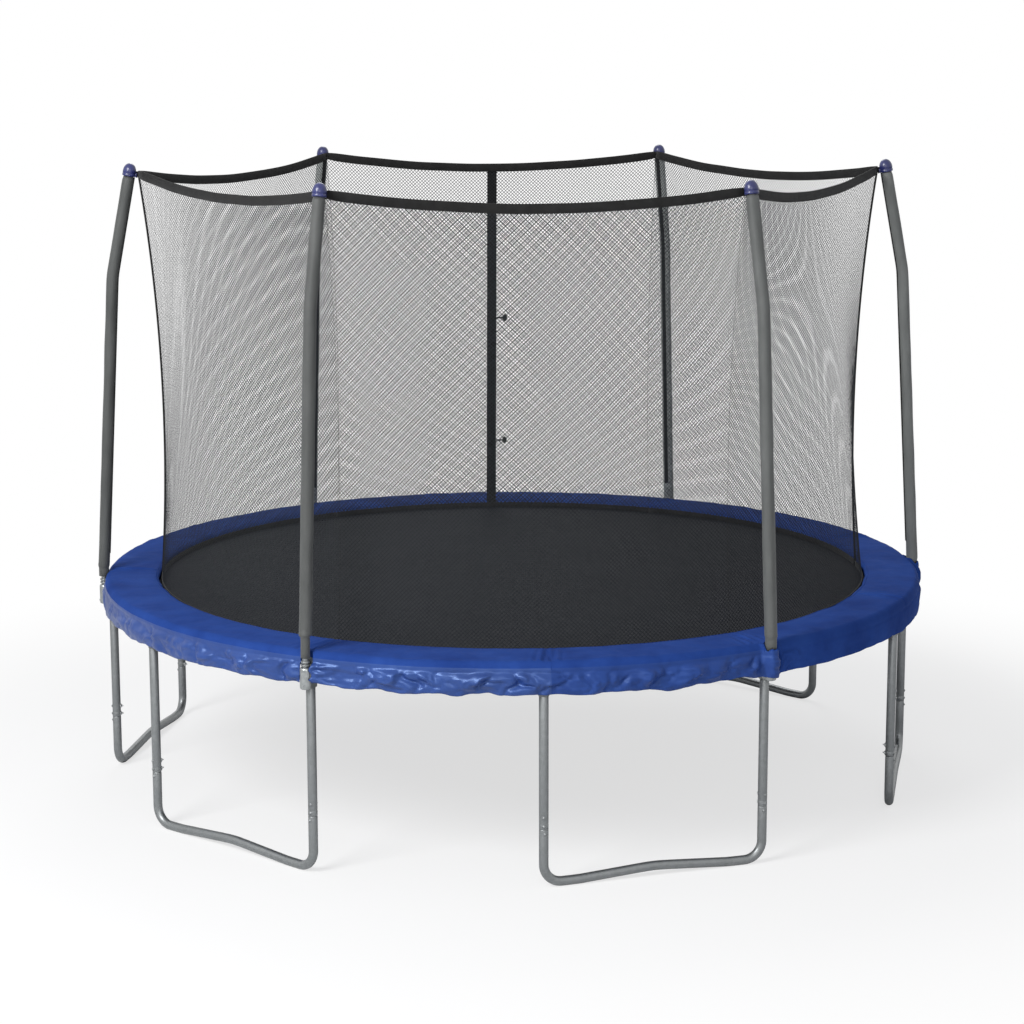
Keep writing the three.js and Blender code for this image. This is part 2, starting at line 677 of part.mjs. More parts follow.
// Slider that straddles the zip's rib, with two ears that hold the pull
function makeSlider() {
  const depthMiddle = sliderBack + SLIDER_THICKNESS / 2;
  let slider = box(SLIDER_WIDTH, SLIDER_THICKNESS, SLIDER_LENGTH, 0, depthMiddle, sliderMiddle);
  const grooveWidth = ZIP_RIB_WIDTH + 2 * FIT_GAP;
  const grooveDepth = ZIP_RIB_HEIGHT + FIT_GAP;
  const grooveMiddle = zipFront + grooveDepth / 2;
  const groove = box(grooveWidth, grooveDepth, SLIDER_LENGTH + OVERRUN, 0, grooveMiddle, sliderMiddle);
  slider = slider.subtract(groove);
  for (const side of [-1, 1]) {
    const x = (side * (PULL_WIDTH + EAR_THICKNESS + 2 * FIT_GAP)) / 2;
    const depth = EAR_HEIGHT + EAR_THICKNESS;
    const out = sliderFront + EAR_HEIGHT - depth / 2;
    const ear = box(EAR_THICKNESS, depth, SLIDER_LENGTH / 3, x, out, sliderMiddle);
    slider = slider.add(ear);
  }
  return geometryOf(slider);
}

// Pull tab, hanging from its pivot between the slider's ears
function makePull() {
  const boss = PULL_THICKNESS / 2;
  const shape = new THREE.Shape();
  const bottom = -PULL_LENGTH + PULL_WIDTH / 2;
  shape.moveTo(-PULL_WIDTH / 2, boss);
  shape.lineTo(-PULL_WIDTH / 2, bottom);
  shape.absarc(0, bottom, PULL_WIDTH / 2, Math.PI, TURN, false);
  shape.lineTo(PULL_WIDTH / 2, boss);
  shape.closePath();
  const hole = new THREE.Path();
  hole.absarc(0, bottom, PULL_HOLE_RADIUS, 0, TURN, true);
  shape.holes.push(hole);
  const geometry = new THREE.ExtrudeGeometry(shape, {
    depth: PULL_THICKNESS,
    curveSegments: FOAM_SIDES / 2,
    bevelEnabled: false,
  });
  geometry.rotateX(Math.PI / 2);
  return geometry.translate(0, pullPivotOut + PULL_THICKNESS / 2, sliderMiddle);
}

// Door clip: an oval buckle on a short strap sewn beside the zip
function makeClip(height) {
  const strapBack = NET_THICKNESS / 2 + FIT_GAP;
  const out = strapBack + CLIP_THICKNESS / 2;
  const root = ZIP_WIDTH / 2 + FIT_GAP;
  const strapMiddle = root + CLIP_STRAP_LENGTH / 2;
  const strap = box(CLIP_STRAP_LENGTH, CLIP_STRAP_THICKNESS, CLIP_STRAP_WIDTH, strapMiddle, out, height);
  const shape = new THREE.Shape();
  shape.absellipse(0, 0, CLIP_WIDTH / 2, CLIP_LENGTH / 2, 0, TURN, false, 0);
  const buckle = new THREE.ExtrudeGeometry(shape, {
    depth: CLIP_THICKNESS,
    curveSegments: FOAM_SIDES / 2,
    bevelEnabled: false,
  });
  const buckleMiddle = root + CLIP_STRAP_LENGTH + CLIP_WIDTH / 3;
  buckle.rotateX(Math.PI / 2).translate(buckleMiddle, out + CLIP_THICKNESS / 2, height);
  return geometryOf(strap.add(solidOf(buckle)));
}

function addLegs() {
  const rail = makeRail();
  const legPost = makeLegPost();
  const base = makeLegBase();
  for (let k = 0; k < LEG_COUNT; k += 1) {
    const leg = new THREE.Group();
    leg.rotation.z = k * legStep - postSpread;
    trampoline.add(leg);
    addMesh(leg, `top_rail_${k + 1}`, rail, steel);
    const x = railRadius * Math.cos(postSpread);
    const y = railRadius * Math.sin(postSpread);
    addMesh(leg, `leg_post_${2 * k + 1}`, legPost, steel).position.set(x, y, 0);
    addMesh(leg, `leg_post_${2 * k + 2}`, legPost, steel).position.set(x, -y, 0);
    addMesh(leg, `leg_base_${k + 1}`, base, steel).position.set(x, 0, 0);
  }
}

function addPoles() {
  const pole = makePole();
  const sleeve = makeFoamSleeve();
  const cap = makeCap();
  for (let k = 0; k < LEG_COUNT; k += 1) {
    const stand = new THREE.Group();
    stand.rotation.z = k * legStep;
    trampoline.add(stand);
    addMesh(stand, `enclosure_pole_${k + 1}`, pole, steel);
    addMesh(stand, `foam_sleeve_${k + 1}`, sleeve, foam);
    addMesh(stand, `pole_cap_${k + 1}`, cap, capBlue);
  }
}

function addBed() {
  addMesh(trampoline, 'jump_mat', makeMat(), matBlack);
  addMesh(trampoline, 'bed_springs', makeSprings(), springZinc);
  addMesh(trampoline, 'spring_pad', makePad(), padBlue);
}

function addNet() {
  for (let k = 0; k < LEG_COUNT; k += 1) {
    addMesh(trampoline, `safety_net_${k + 1}`, makeNetPanel(k * legStep), netBlack);
  }
}

function addDoor() {
  const { frame, length } = doorFrame();
  trampoline.add(frame);
  frame.updateMatrixWorld(true);
  addMesh(frame, 'zip_strip', makeZipStrip(length), zipBlack);
  addMesh(frame, 'zip_slider', makeSlider(), plasticBlack);
  addMesh(frame, 'zip_pull', makePull(), plasticBlack);
  addMesh(frame, 'door_clip_lower', makeClip(CLIP_SHARES[0] * length), plasticBlack);
  addMesh(frame, 'door_clip_upper', makeClip(CLIP_SHARES[1] * length), plasticBlack);
}

addLegs();
addPoles();
addBed();
addNet();
addDoor();
trampoline.updateMatrixWorld(true);

export default trampoline;
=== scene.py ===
"""Backyard trampoline with a safety enclosure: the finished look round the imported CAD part.

Metres, +Z up, the origin on the ground under the middle of the bed. A pole stands on +X
and the zipped door faces +Y.
"""
from math import acos, copysign, cos, exp, hypot, pi, radians, sin, tan

import bpy
import numpy as np
from mathutils import Matrix, Quaternion, Vector, noise


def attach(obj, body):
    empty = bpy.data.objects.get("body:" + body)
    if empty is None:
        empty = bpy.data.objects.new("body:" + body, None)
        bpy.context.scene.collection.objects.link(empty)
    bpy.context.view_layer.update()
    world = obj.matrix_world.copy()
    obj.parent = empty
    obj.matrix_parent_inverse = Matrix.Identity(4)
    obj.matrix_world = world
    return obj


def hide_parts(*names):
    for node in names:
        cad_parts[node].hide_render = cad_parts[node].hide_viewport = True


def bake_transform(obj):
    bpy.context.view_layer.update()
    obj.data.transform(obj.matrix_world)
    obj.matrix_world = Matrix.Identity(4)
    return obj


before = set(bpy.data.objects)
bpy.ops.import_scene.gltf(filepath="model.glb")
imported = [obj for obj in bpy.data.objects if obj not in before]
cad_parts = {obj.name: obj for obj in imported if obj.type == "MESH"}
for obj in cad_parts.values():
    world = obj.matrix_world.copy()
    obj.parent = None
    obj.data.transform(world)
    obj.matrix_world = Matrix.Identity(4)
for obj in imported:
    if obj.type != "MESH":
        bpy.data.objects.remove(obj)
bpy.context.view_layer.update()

TURN = 2 * pi

# Sizes of the CAD part, in metres. LEG_AWAY is the angle from the middle of a rail arc to its legs.
LEGS = 6
LEG_AWAY = radians(15)
TUBE_R = 0.019
RAIL_R = 1.810
RAIL_Z = 0.875
SOCKET_R = 0.0213
SOCKET_LOW = 0.780
SOCKET_TOP = 0.853
GAP = 0.0003
JOINT_Z = 0.240
SPIGOT_R = 0.0165
SPIGOT_LENGTH = 0.055
BEND_R = 0.075
FOOT_FLAT = 0.060
JOINT_BOLTS = (JOINT_Z + 0.013, JOINT_Z + 0.048)
BOLT_HEAD = (0.0048, 0.0045)
NUT = (0.0070, 0.0075)
SUNK = 0.0006
BAR_SLOPE = radians(3.6)
CREST_R = 0.700
HALF_SPAN = RAIL_R * sin(LEG_AWAY)
CHORD_R = RAIL_R * cos(LEG_AWAY)
POLE_R = 0.0127
POLE_BASE_R = 1.8467
POLE_FOOT_Z = 0.770
POLE_UPRIGHT_Z = 0.930
POLE_BEND_Z = 2.250
POLE_LEAN = radians(3.4)
POLE_TIP = radians(10.9)
POLE_TIP_LENGTH = 0.476
POLE_BEND_R = 0.420
SADDLE_TOP = 0.856
FOAM_R = 0.027
FOAM_FOOT_Z = 0.8965
CAP_R = 0.029
CAP_H = 0.056
CAP_BORE = 0.030
MAT_R = 1.604
MAT_Z = 0.884
PAD_IN_R = 1.594
PAD_LOW = 0.8943
SKIRT_R = 1.835
SKIRT_LOW = 0.791
NET_FOOT_R = 1.585
NET_FOOT_Z = 0.8843
NET_TOP_Z = 2.716
NET_CORNER_R = 1.64327
NET_SAG = 0.062
NET_WAIST = 0.052
NET_BAND = 0.040
NET_HEM = 0.026
NET_CELLS = (192, 212)
NET_CORD_W = 0.00247
NET_CORD_T = 0.0007
NET_STEP = 9
NET_W = 1.66
NET_H = 1.83
HEM_UP = NET_HEM / 2 / (NET_TOP_Z - NET_FOOT_Z)
BAND_UP = 1 - NET_BAND / 2 / (NET_TOP_Z - NET_FOOT_Z)
ZIP_LOW = 0.0107
ZIP_HIGH = 1.7593
SLIDER_MID = 0.0764
CLIP_LOW = 0.3554
CLIP_HIGH = 0.9952

# The photographed view
CAMERA_D = 11.48
CAMERA_Z = 3.359
CAMERA_AZ = radians(-93.865)
CAMERA_PITCH = 0.1892
CAMERA_ROLL = -0.002
CAMERA_LENS = 90.4


def add_object(name, data):
    thing = bpy.data.objects.new(name, data)
    bpy.context.scene.collection.objects.link(thing)
    return thing


def aim(thing, place, target, roll=0.0):
    """Put a camera or a lamp in its place and turn it to its target."""
    thing.location = place
    thing.rotation_mode = "QUATERNION"
    turn = (Vector(target) - Vector(place)).to_track_quat("-Z", "Y")
    thing.rotation_quaternion = turn @ Quaternion((0, 0, 1), roll)


def make_camera():
    data = bpy.data.cameras.new("camera")
    data.lens = CAMERA_LENS
    data.sensor_width = 36
    data.clip_end = 2000
    camera = add_object("camera", data)
    place = (CAMERA_D * cos(CAMERA_AZ), CAMERA_D * sin(CAMERA_AZ), CAMERA_Z)
    aim(camera, place, (0, 0, CAMERA_Z - CAMERA_D * tan(CAMERA_PITCH)), CAMERA_ROLL)
    bpy.context.scene.camera = camera


make_camera()


# Materials

def feed(tree, node, inputs):
    """Set a node's inputs, each to a value or to the socket that feeds it."""
    for key, value in inputs.items():
        if isinstance(value, bpy.types.NodeSocket):
            tree.links.new(value, node.inputs[key])
        else:
            node.inputs[key].default_value = value


def add_node(tree, kind, inputs, **settings):
    node = tree.nodes.new("ShaderNode" + kind)
    for name, value in settings.items():
        setattr(node, name, value)
    feed(tree, node, inputs)
    return node


def linear(tone, shade):
    """An sRGB colour of 0 to 255, times a shade, as the linear one that the shader takes."""
    parts = [shade * c / 255 for c in tone]
    return (*(c / 12.92 if c <= 0.04045 else ((c + 0.055) / 1.055) ** 2.4 for c in parts), 1)


class Finish:
    """A procedural material in the making: a Principled shader and the nodes that feed it."""

    def __init__(self, name, metallic=0.0, specular=0.5):
        self.material = bpy.data.materials.new(name)
        self.material.use_nodes = True
        self.tree = self.material.node_tree
        self.shader = self.tree.nodes["Principled BSDF"]
        self.set({"Metallic": metallic, "Specular IOR Level": specular})
        self.place = add_node(self.tree, "TexCoord", {}).outputs["Object"]
        self.normal = None

    def set(self, inputs):
        feed(self.tree, self.shader, inputs)

    def texture(self, kind, stretch, inputs):
        place = add_node(self.tree, "Mapping", {"Vector": self.place, "Scale": stretch}).outputs["Vector"]
        return add_node(self.tree, kind, {"Vector": place, **inputs}).outputs

    def noise(self, scale, detail, rough=0.55, stretch=(1, 1, 1)):
        inputs = {"Scale": scale, "Detail": detail, "Roughness": rough}
        return self.texture("TexNoise", stretch, inputs)["Fac"]

    def cells(self, scale):
        return self.texture("TexVoronoi", (1, 1, 1), {"Scale": scale})["Color"]

    def weave(self, operation, *waves):
        """Two trains of waves, each a (scale, axis), added or multiplied."""
        made = [add_node(self.tree, "TexWave", {"Vector": self.place, "Scale": scale}, bands_direction=axis)
                for scale, axis in waves]
        inputs = {i: wave.outputs["Fac"] for i, wave in enumerate(made)}
        return add_node(self.tree, "Math", inputs, operation=operation).outputs["Value"]

    def colour(self, factor, dark, light, ends=(0.3, 0.7), shade=1.0):
        """Base colour from one sRGB colour to the other while the factor runs between the ends."""
        node = add_node(self.tree, "ValToRGB", {"Fac": factor})
        for element, position, tone in zip(node.color_ramp.elements, ends, (dark, light)):
            element.position = position
            element.color = linear(tone, shade)
        self.set({"Base Color": node.outputs["Color"]})

    def rough(self, factor, low, high):
        node = add_node(self.tree, "MapRange", {"Value": factor, "To Min": low, "To Max": high})
        self.set({"Roughness": node.outputs["Result"]})

    def bump(self, height, strength, distance):
        node = add_node(self.tree, "Bump", {"Strength": strength, "Distance": distance, "Height": height})
        if self.normal is not None:
            feed(self.tree, node, {"Normal": self.normal})
        self.normal = node.outputs["Normal"]
        self.set({"Normal": self.normal})


def galvanised():
    f = Finish("galvanised_tube", metallic=0.75)
    f.colour(f.cells(70), (128, 131, 132), (137, 140, 141), ends=(0.0, 1.0))
    f.rough(f.noise(40, 3), 0.36, 0.46)
    f.bump(f.noise(180, 3), 0.06, 0.0004)
    return f.material


def bracket_steel():
    f = Finish("bracket_steel", metallic=0.85)
    f.colour(f.noise(60, 3), (140, 144, 145), (164, 167, 167))
    f.rough(f.noise(90, 2), 0.26, 0.36)
    f.bump(f.noise(240, 3), 0.06, 0.0004)
    return f.material


def bright_zinc():
    f = Finish("bright_zinc", metallic=0.95)
    f.colour(f.noise(50, 3), (190, 193, 195), (218, 220, 221))
    f.rough(f.noise(120, 2), 0.2, 0.36)
    return f.material


def foam_cover(number, pale):
    """Foam sleeve's cover, its grey scaled per pole by a factor that is painted light: paler on the back and
    right poles, darker on the left ones.
    """
    f = Finish(f"grey_foam_{number}", specular=0.35)
    f.colour(f.noise(14, 4, stretch=(1, 1, 0.35)), (76, 78, 77), (90, 92, 91), shade=pale)
    f.rough(f.noise(50, 3), 0.5, 0.66)
    f.bump(f.noise(26, 4, stretch=(1, 1, 0.3)), 0.35, 0.003)
    f.bump(f.noise(420, 3), 0.25, 0.0006)
    f.set({"Sheen Weight": 0.12})
    return f.material


def blue_plastic():
    f = Finish("blue_cap", specular=0.5)
    f.colour(f.noise(30, 3), (36, 40, 86), (45, 51, 104))
    f.rough(f.noise(60, 2), 0.26, 0.36)
    f.bump(f.noise(500, 2), 0.06, 0.0003)
    f.set({"Coat Weight": 0.2, "Coat Roughness": 0.2})
    return f.material


def blue_vinyl(name, specular, smooth, dull, shade=1.0):
    f = Finish(name, specular=specular)
    f.colour(f.noise(5, 5), (32, 57, 122), (43, 73, 145), shade=shade)
    f.rough(f.noise(30, 4), smooth, dull)
    f.bump(f.noise(30, 5, 0.6), 0.3, 0.004)
    f.bump(f.weave("ADD", (260, "X"), (260, "Y")), 0.06, 0.0004)
    f.set({"Specular Tint": (0.42, 0.60, 1.0, 1)})
    return f.material


def woven_mat():
    f = Finish("woven_mat", specular=0.06)
    f.colour(f.noise(3, 5), (27, 29, 33), (32, 34, 38))
    f.rough(f.noise(40, 3), 0.62, 0.8)
    f.bump(f.weave("MULTIPLY", (130, "X"), (130, "Y")), 0.12, 0.0006)
    f.bump(f.noise(2.5, 3), 0.25, 0.02)
    return f.material


def net_cord():
    f = Finish("net_cord", specular=0.06)
    f.colour(f.noise(90, 3), (38, 40, 43), (47, 49, 52))
    f.rough(f.noise(200, 2), 0.7, 0.85)
    f.bump(f.noise(900, 2), 0.4, 0.0006)
    return f.material


def webbing(name, dark, light):
    f = Finish(name, specular=0.2)
    f.colour(f.noise(24, 4), dark, light)
    f.rough(f.noise(80, 3), 0.7, 0.85)
    f.bump(f.weave("MULTIPLY", (240, "Z"), (200, "X")), 0.5, 0.0008)
    f.bump(f.noise(30, 3), 0.3, 0.003)
    f.set({"Sheen Weight": 0.08})
    return f.material


def black_plastic():
    f = Finish("black_plastic", specular=0.5)
    f.colour(f.noise(60, 3), (22, 23, 22), (38, 40, 36))
    f.rough(f.noise(120, 2), 0.35, 0.5)
    f.bump(f.noise(700, 2), 0.1, 0.0003)
    return f.material


# Painted light: each sleeve's grey scaled per pole, in the order of the poles, to look lit on the back and
# right poles and shaded on the left ones.
SLEEVE_PAINTED_LIGHT = (1.28, 1.85, 1.85, 0.9, 0.9, 1.06)

STEEL = galvanised()
BRACKET = bracket_steel()
ZINC = bright_zinc()
FOAMS = [foam_cover(k + 1, pale) for k, pale in enumerate(SLEEVE_PAINTED_LIGHT)]
CAP = blue_plastic()
VINYL = blue_vinyl("blue_vinyl", 0.03, 0.66, 0.8)
GLOSSY_VINYL = blue_vinyl("glossy_blue_vinyl", 0.9, 0.29, 0.43, 0.92)
SATIN_VINYL = blue_vinyl("satin_blue_vinyl", 0.42, 0.34, 0.48, 0.94)
MAT = woven_mat()
CORD = net_cord()
BAND = webbing("black_webbing", (19, 19, 19), (32, 32, 32))
TAPE = webbing("zip_tape", (8, 8, 8), (18, 18, 18))
PLASTIC = black_plastic()


# Mesh tools

class Build:
    """Points and faces of one or more closed forms, gathered for one piece."""

    def __init__(self, points=(), faces=()):
        self.points = []
        self.faces = []
        self.add(points, faces)

    def add(self, points, faces):
        start = len(self.points)
        self.points.extend(tuple(p) for p in points)
        self.faces.extend(tuple(i + start for i in f) for f in faces)

    def moved(self, matrix):
        return Build([matrix @ Vector(p) for p in self.points], self.faces)

    def join(self, other):
        self.add(other.points, other.faces)


def piece(name, build, look, slot, body="frame", node=None, smooth=True):
    """A mesh object that rides on a body and may replace a node of the CAD part."""
    mesh = bpy.data.meshes.new(name)
    mesh.from_pydata(build.points, [], build.faces)
    mesh.validate()
    mesh.update()
    mesh.materials.append(look)
    if smooth:
        mesh.shade_smooth()
    thing = add_object(name, mesh)
    if body:
        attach(thing, body)
    if node:
        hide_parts(node)
    return thing


def unit(a):
    return a / np.maximum(np.linalg.norm(a, axis=-1, keepdims=True), 1e-12)


def skin(count, n, closed=False, capped=True):
    """Faces over count loops of n points each: joined end to end if closed, or else capped."""
    faces = []
    for i in range(count if closed else count - 1):
        a, b = i * n, (i + 1) % count * n
        for j in range(n):
            k = (j + 1) % n
            faces.append((a + j, a + k, b + k, b + j))
    if capped and not closed:
        faces += [tuple(range(n))[::-1], tuple(range((count - 1) * n, count * n))]
    return faces


def rings(path, outlines, reference, closed=False, capped=True):
    """Sections along a path: outlines is one (n, 2) array for all points or one for each."""
    path = np.asarray(path, float)
    count = len(path)
    if closed:
        along = unit(np.roll(path, -1, 0) - np.roll(path, 1, 0))
    else:
        along = unit(np.gradient(path, axis=0))
    reference = np.broadcast_to(np.asarray(reference, float), path.shape)
    across = unit(reference - (reference * along).sum(1, keepdims=True) * along)
    third = np.cross(along, across)
    outlines = np.asarray(outlines, float)
    if outlines.ndim == 2:
        outlines = np.broadcast_to(outlines, (count, *outlines.shape))
    points = path[:, None, :] + outlines[:, :, :1] * across[:, None, :]
    points = points + outlines[:, :, 1:] * third[:, None, :]
    return points.reshape(-1, 3), skin(count, outlines.shape[1], closed, capped)


def circle(radius, sides):
    angles = np.arange(sides) / sides * TURN
    return np.stack([radius * np.cos(angles), radius * np.sin(angles)], 1)


def tube(path, radii, sides, reference, closed=False):
    radii = np.broadcast_to(np.asarray(radii, float), (len(path),))
    outlines = circle(1.0, sides)[None] * radii[:, None, None]
    return rings(path, outlines, reference, closed)


def ribbon(width, thickness, ease=0.3):
    """Outline of a flat strip with eased corners, its first size along the first axis."""
    w, t = width / 2, thickness / 2
    c = min(w, t) * ease
    right = [(w - c, -t), (w, -t + c), (w, t - c), (w - c, t)]
    left = [(-x, y) for x, y in right]
    return np.array([left[1], left[0], *right, left[3], left[2]])


def lathe(profile, sides):
    """A profile of (radius, height) turned about Z. It starts and ends on the axis or closes."""
    points, faces, index = [], [], []
    turns = [(cos(j / sides * TURN), sin(j / sides * TURN)) for j in range(sides)]
    for r, z in profile:
        count = sides if r > 0 else 1
        index.append([len(points) + j % count for j in range(sides)])
        points += [(r * c, r * s, z) for c, s in turns[:count]]
    for low, high in zip(index, index[1:]):
        for j in range(sides):
            k = (j + 1) % sides
            loop = tuple(dict.fromkeys((low[j], low[k], high[k], high[j])))
            if len(loop) > 2:
                faces.append(loop)
    return points, faces


def spin(k):
    """Turn about Z to the place of leg or pole k."""
    return Matrix.Rotation(k * TURN / LEGS, 4, "Z")


def stacked(loops):
    """A closed form from loops of equal length, each above the one before."""
    return [p for loop in loops for p in loop], skin(len(loops), len(loops[0]))


def bezel(x, y, z, half):
    """A box with eased edges, its middle and half sizes given."""
    hx, hy, hz = half
    e = min(half) * 0.25
    loops = []
    for height, inset in ((-hz, e), (-hz + e, 0), (hz - e, 0), (hz, e)):
        loop = []
        for sx, sy in ((1, 1), (-1, 1), (-1, -1), (1, -1)):
            ax, ay = hx - inset, hy - inset
            corner = [(sx * ax, sy * (ay - e)), (sx * (ax - e), sy * ay)]
            loop += corner if sx * sy > 0 else corner[::-1]
        loops.append([(x + px, y + py, z + height) for px, py in loop])
    return Build(*stacked(loops))


def wander(x, y, z, seed=0.0):
    return noise.noise(Vector((x + seed, y + seed * 0.37, z - seed * 0.61)))


# Frame

def rail_arc():
    """A top rail arc with its two welded sockets, their weld beads and bolts."""
    half = TURN / LEGS / 2 - GAP / RAIL_R / 2
    steps = 72
    angles = np.linspace(-half, half, steps)
    path = np.stack([RAIL_R * np.cos(angles), RAIL_R * np.sin(angles), np.full(steps, RAIL_Z)], 1)
    radii = np.full(steps, TUBE_R)
    radii[0] = radii[-1] = TUBE_R - 0.0008
    build = Build(*tube(path, radii, 24, (0, 0, 1)))
    bore, weld = 0.0193, SOCKET_R + 0.002
    profile = [(0.0, SOCKET_TOP), (bore, SOCKET_TOP), (bore, SOCKET_LOW), (SOCKET_R, SOCKET_LOW),
               (SOCKET_R, 0.8565), (weld, 0.8605), (weld, 0.866), (0.0, 0.872)]
    points, faces = lathe(profile, 24)
    for a in (-LEG_AWAY, LEG_AWAY):
        out = Vector((cos(a), sin(a), 0))
        spot = out * RAIL_R
        build.add([spot + Vector(p) for p in points], [f[::-1] for f in faces])
        for height in (0.80, 0.835):
            build.join(bolt_head(spot - out * SOCKET_R + Vector((0, 0, height)), -out, 0.0055, 0.004))
    return build


def bolt_head(spot, out, radius, height):
    """A low domed hexagon head on a washer."""
    washer = [(0, 0.0), (radius * 1.6, 0.0), (radius * 1.6, height * 0.3), (radius * 1.2, height * 0.4)]
    dome = [(radius, height * 0.45), (radius * 0.9, height * 0.9), (radius * 0.5, height * 1.1),
            (0, height * 1.15)]
    turn = out.to_track_quat("Z", "Y").to_matrix().to_4x4()
    return Build(*lathe(washer + dome, 12)).moved(Matrix.Translation(spot - out * SUNK) @ turn)


def leg_post(outward):
    """An upright: swage shoulder, pressed groove, and two bolts where it plugs into the base."""
    top = SOCKET_TOP - GAP
    low = JOINT_Z + GAP
    groove = TUBE_R - 0.0005
    rows = [(low - SPIGOT_LENGTH, 0.0150), (low - SPIGOT_LENGTH + 0.002, SPIGOT_R), (low - 0.0005, SPIGOT_R),
            (low, TUBE_R - 0.0008), (low + 0.0012, TUBE_R), (low + 0.020, TUBE_R), (low + 0.0215, groove),
            (low + 0.0235, groove), (low + 0.025, TUBE_R), (top - 0.001, TUBE_R), (top, TUBE_R - 0.0008)]
    build = Build(*tube([(0, 0, z) for z, r in rows], [r for z, r in rows], 24, (1, 0, 0)))
    for z in JOINT_BOLTS:
        build.join(bolt_head(outward * (TUBE_R - SUNK) + Vector((0, 0, z)), outward, *BOLT_HEAD))
    return build


def joint_nuts(inward):
    """Zinc nuts with their bolt ends, on the inner side of a leg's two joint bolts."""
    build = Build()
    for z in JOINT_BOLTS:
        spot = inward * (TUBE_R - SUNK) + Vector((0, 0, z))
        build.join(bolt_head(spot, inward, *NUT))
        end = spot + inward * NUT[1]
        path = [end, end + inward * 0.0050, end + inward * 0.0056]
        build.add(*tube(path, [0.0030, 0.0030, 0.0022], 10, (0, 0, 1)))
    return build


def leg_base_path():
    """Middle line of a base: down a leg, round the bend, along the foot and up to the crest, and back."""
    left = [(0, -HALF_SPAN, JOINT_Z), (0, -HALF_SPAN, JOINT_Z - 0.003), (0, -HALF_SPAN, 0.14)]
    centre = TUBE_R + BEND_R
    steps = 14
    for i in range(steps + 1):
        a = pi / 2 * i / steps
        left.append((0, -HALF_SPAN + BEND_R * (1 - cos(a)), centre - BEND_R * sin(a)))
    foot_end = -HALF_SPAN + BEND_R + FOOT_FLAT
    left.append((0, foot_end - 0.02, TUBE_R))
    left.append((0, foot_end + 0.02, TUBE_R + 0.0006))
    half = CREST_R * sin(BAR_SLOPE)
    rise = TUBE_R + (-half - foot_end) * tan(BAR_SLOPE)
    hump = CREST_R * (1 - cos(BAR_SLOPE))
    left.append((0, -half * 1.6, rise - half * 0.6 * tan(BAR_SLOPE)))
    left.append((0, -half * 0.6, rise + hump * 0.62))
    return left + [(0, 0, rise + hump)] + [(0, -y, z) for _, y, z in left[::-1]]


def leg_base():
    path = leg_base_path()
    radii = np.full(len(path), TUBE_R)
    radii[0] = radii[-1] = TUBE_R - 0.0009
    build = Build(*tube(path, radii, 24, (1, 0, 0)))
    for side in (-1, 1):
        spot = Vector((TUBE_R - SUNK, side * HALF_SPAN, JOINT_Z - 0.018))
        build.join(bolt_head(spot, Vector((1, 0, 0)), *BOLT_HEAD))
    return build


def add_legs():
    arc, base = rail_arc(), leg_base()
    look = (STEEL, "galvanised_tube")
    for k in range(LEGS):
        turn = spin(k) @ Matrix.Rotation(-LEG_AWAY, 4, "Z")
        piece(f"rail_arc_{k + 1}", arc.moved(turn), *look, node=f"top_rail_{k + 1}")
        foot = base.moved(turn @ Matrix.Translation((CHORD_R, 0, 0)))
        piece(f"bent_base_{k + 1}", foot, *look, node=f"leg_base_{k + 1}")
        for index, side in ((2 * k + 1, 1), (2 * k + 2, -1)):
            out = Vector((cos(LEG_AWAY), side * sin(LEG_AWAY), 0))
            place = turn @ Matrix.Translation((CHORD_R, side * HALF_SPAN, 0))
            piece(f"upright_{index}", leg_post(out).moved(place), *look, node=f"leg_post_{index}")
            piece(f"joint_nuts_{index}", joint_nuts(-out).moved(place), ZINC, "galvanised_tube")


# Poles, sleeves and caps

def eased(corners, radius, steps):
    """Straight runs joined by arcs of the given radius."""
    corners = [Vector(c) for c in corners]
    points = [corners[0]]
    for before, here, after in zip(corners, corners[1:], corners[2:]):
        back, ahead = (before - here).normalized(), (after - here).normalized()
        half = back.angle(ahead) / 2
        middle = (back + ahead).normalized()
        centre = here + middle * (radius / sin(half))
        start = here + back * (radius / tan(half)) - centre
        stop = here + ahead * (radius / tan(half)) - centre
        axis = start.cross(stop).normalized()
        turn = start.angle(stop)
        for j in range(steps + 1):
            points.append(Matrix.Rotation(turn * j / steps, 3, axis) @ start + centre)
    return points + [corners[-1]]


def pole_path(bottom, trim, spacing=0.05):
    bend_r = POLE_BASE_R - (POLE_BEND_Z - POLE_UPRIGHT_Z) * tan(POLE_LEAN)
    tip = POLE_TIP_LENGTH - trim
    corners = [(POLE_BASE_R, 0, bottom), (POLE_BASE_R, 0, POLE_UPRIGHT_Z), (bend_r, 0, POLE_BEND_Z),
               (bend_r - tip * sin(POLE_TIP), 0, POLE_BEND_Z + tip * cos(POLE_TIP))]
    rough = eased(corners, POLE_BEND_R, 6)
    points = [rough[0]]
    for a, b in zip(rough, rough[1:]):
        parts = max(1, round((b - a).length / spacing))
        points += [a.lerp(b, i / parts) for i in range(1, parts + 1)]
    return points


def tip_frame(k):
    """Place of a cap: its bottom centre, turned along the pole's tip."""
    seat = pole_path(FOAM_FOOT_Z, CAP_BORE)[-1]
    return spin(k) @ Matrix.Translation(seat) @ Matrix.Rotation(-POLE_TIP, 4, "Y")


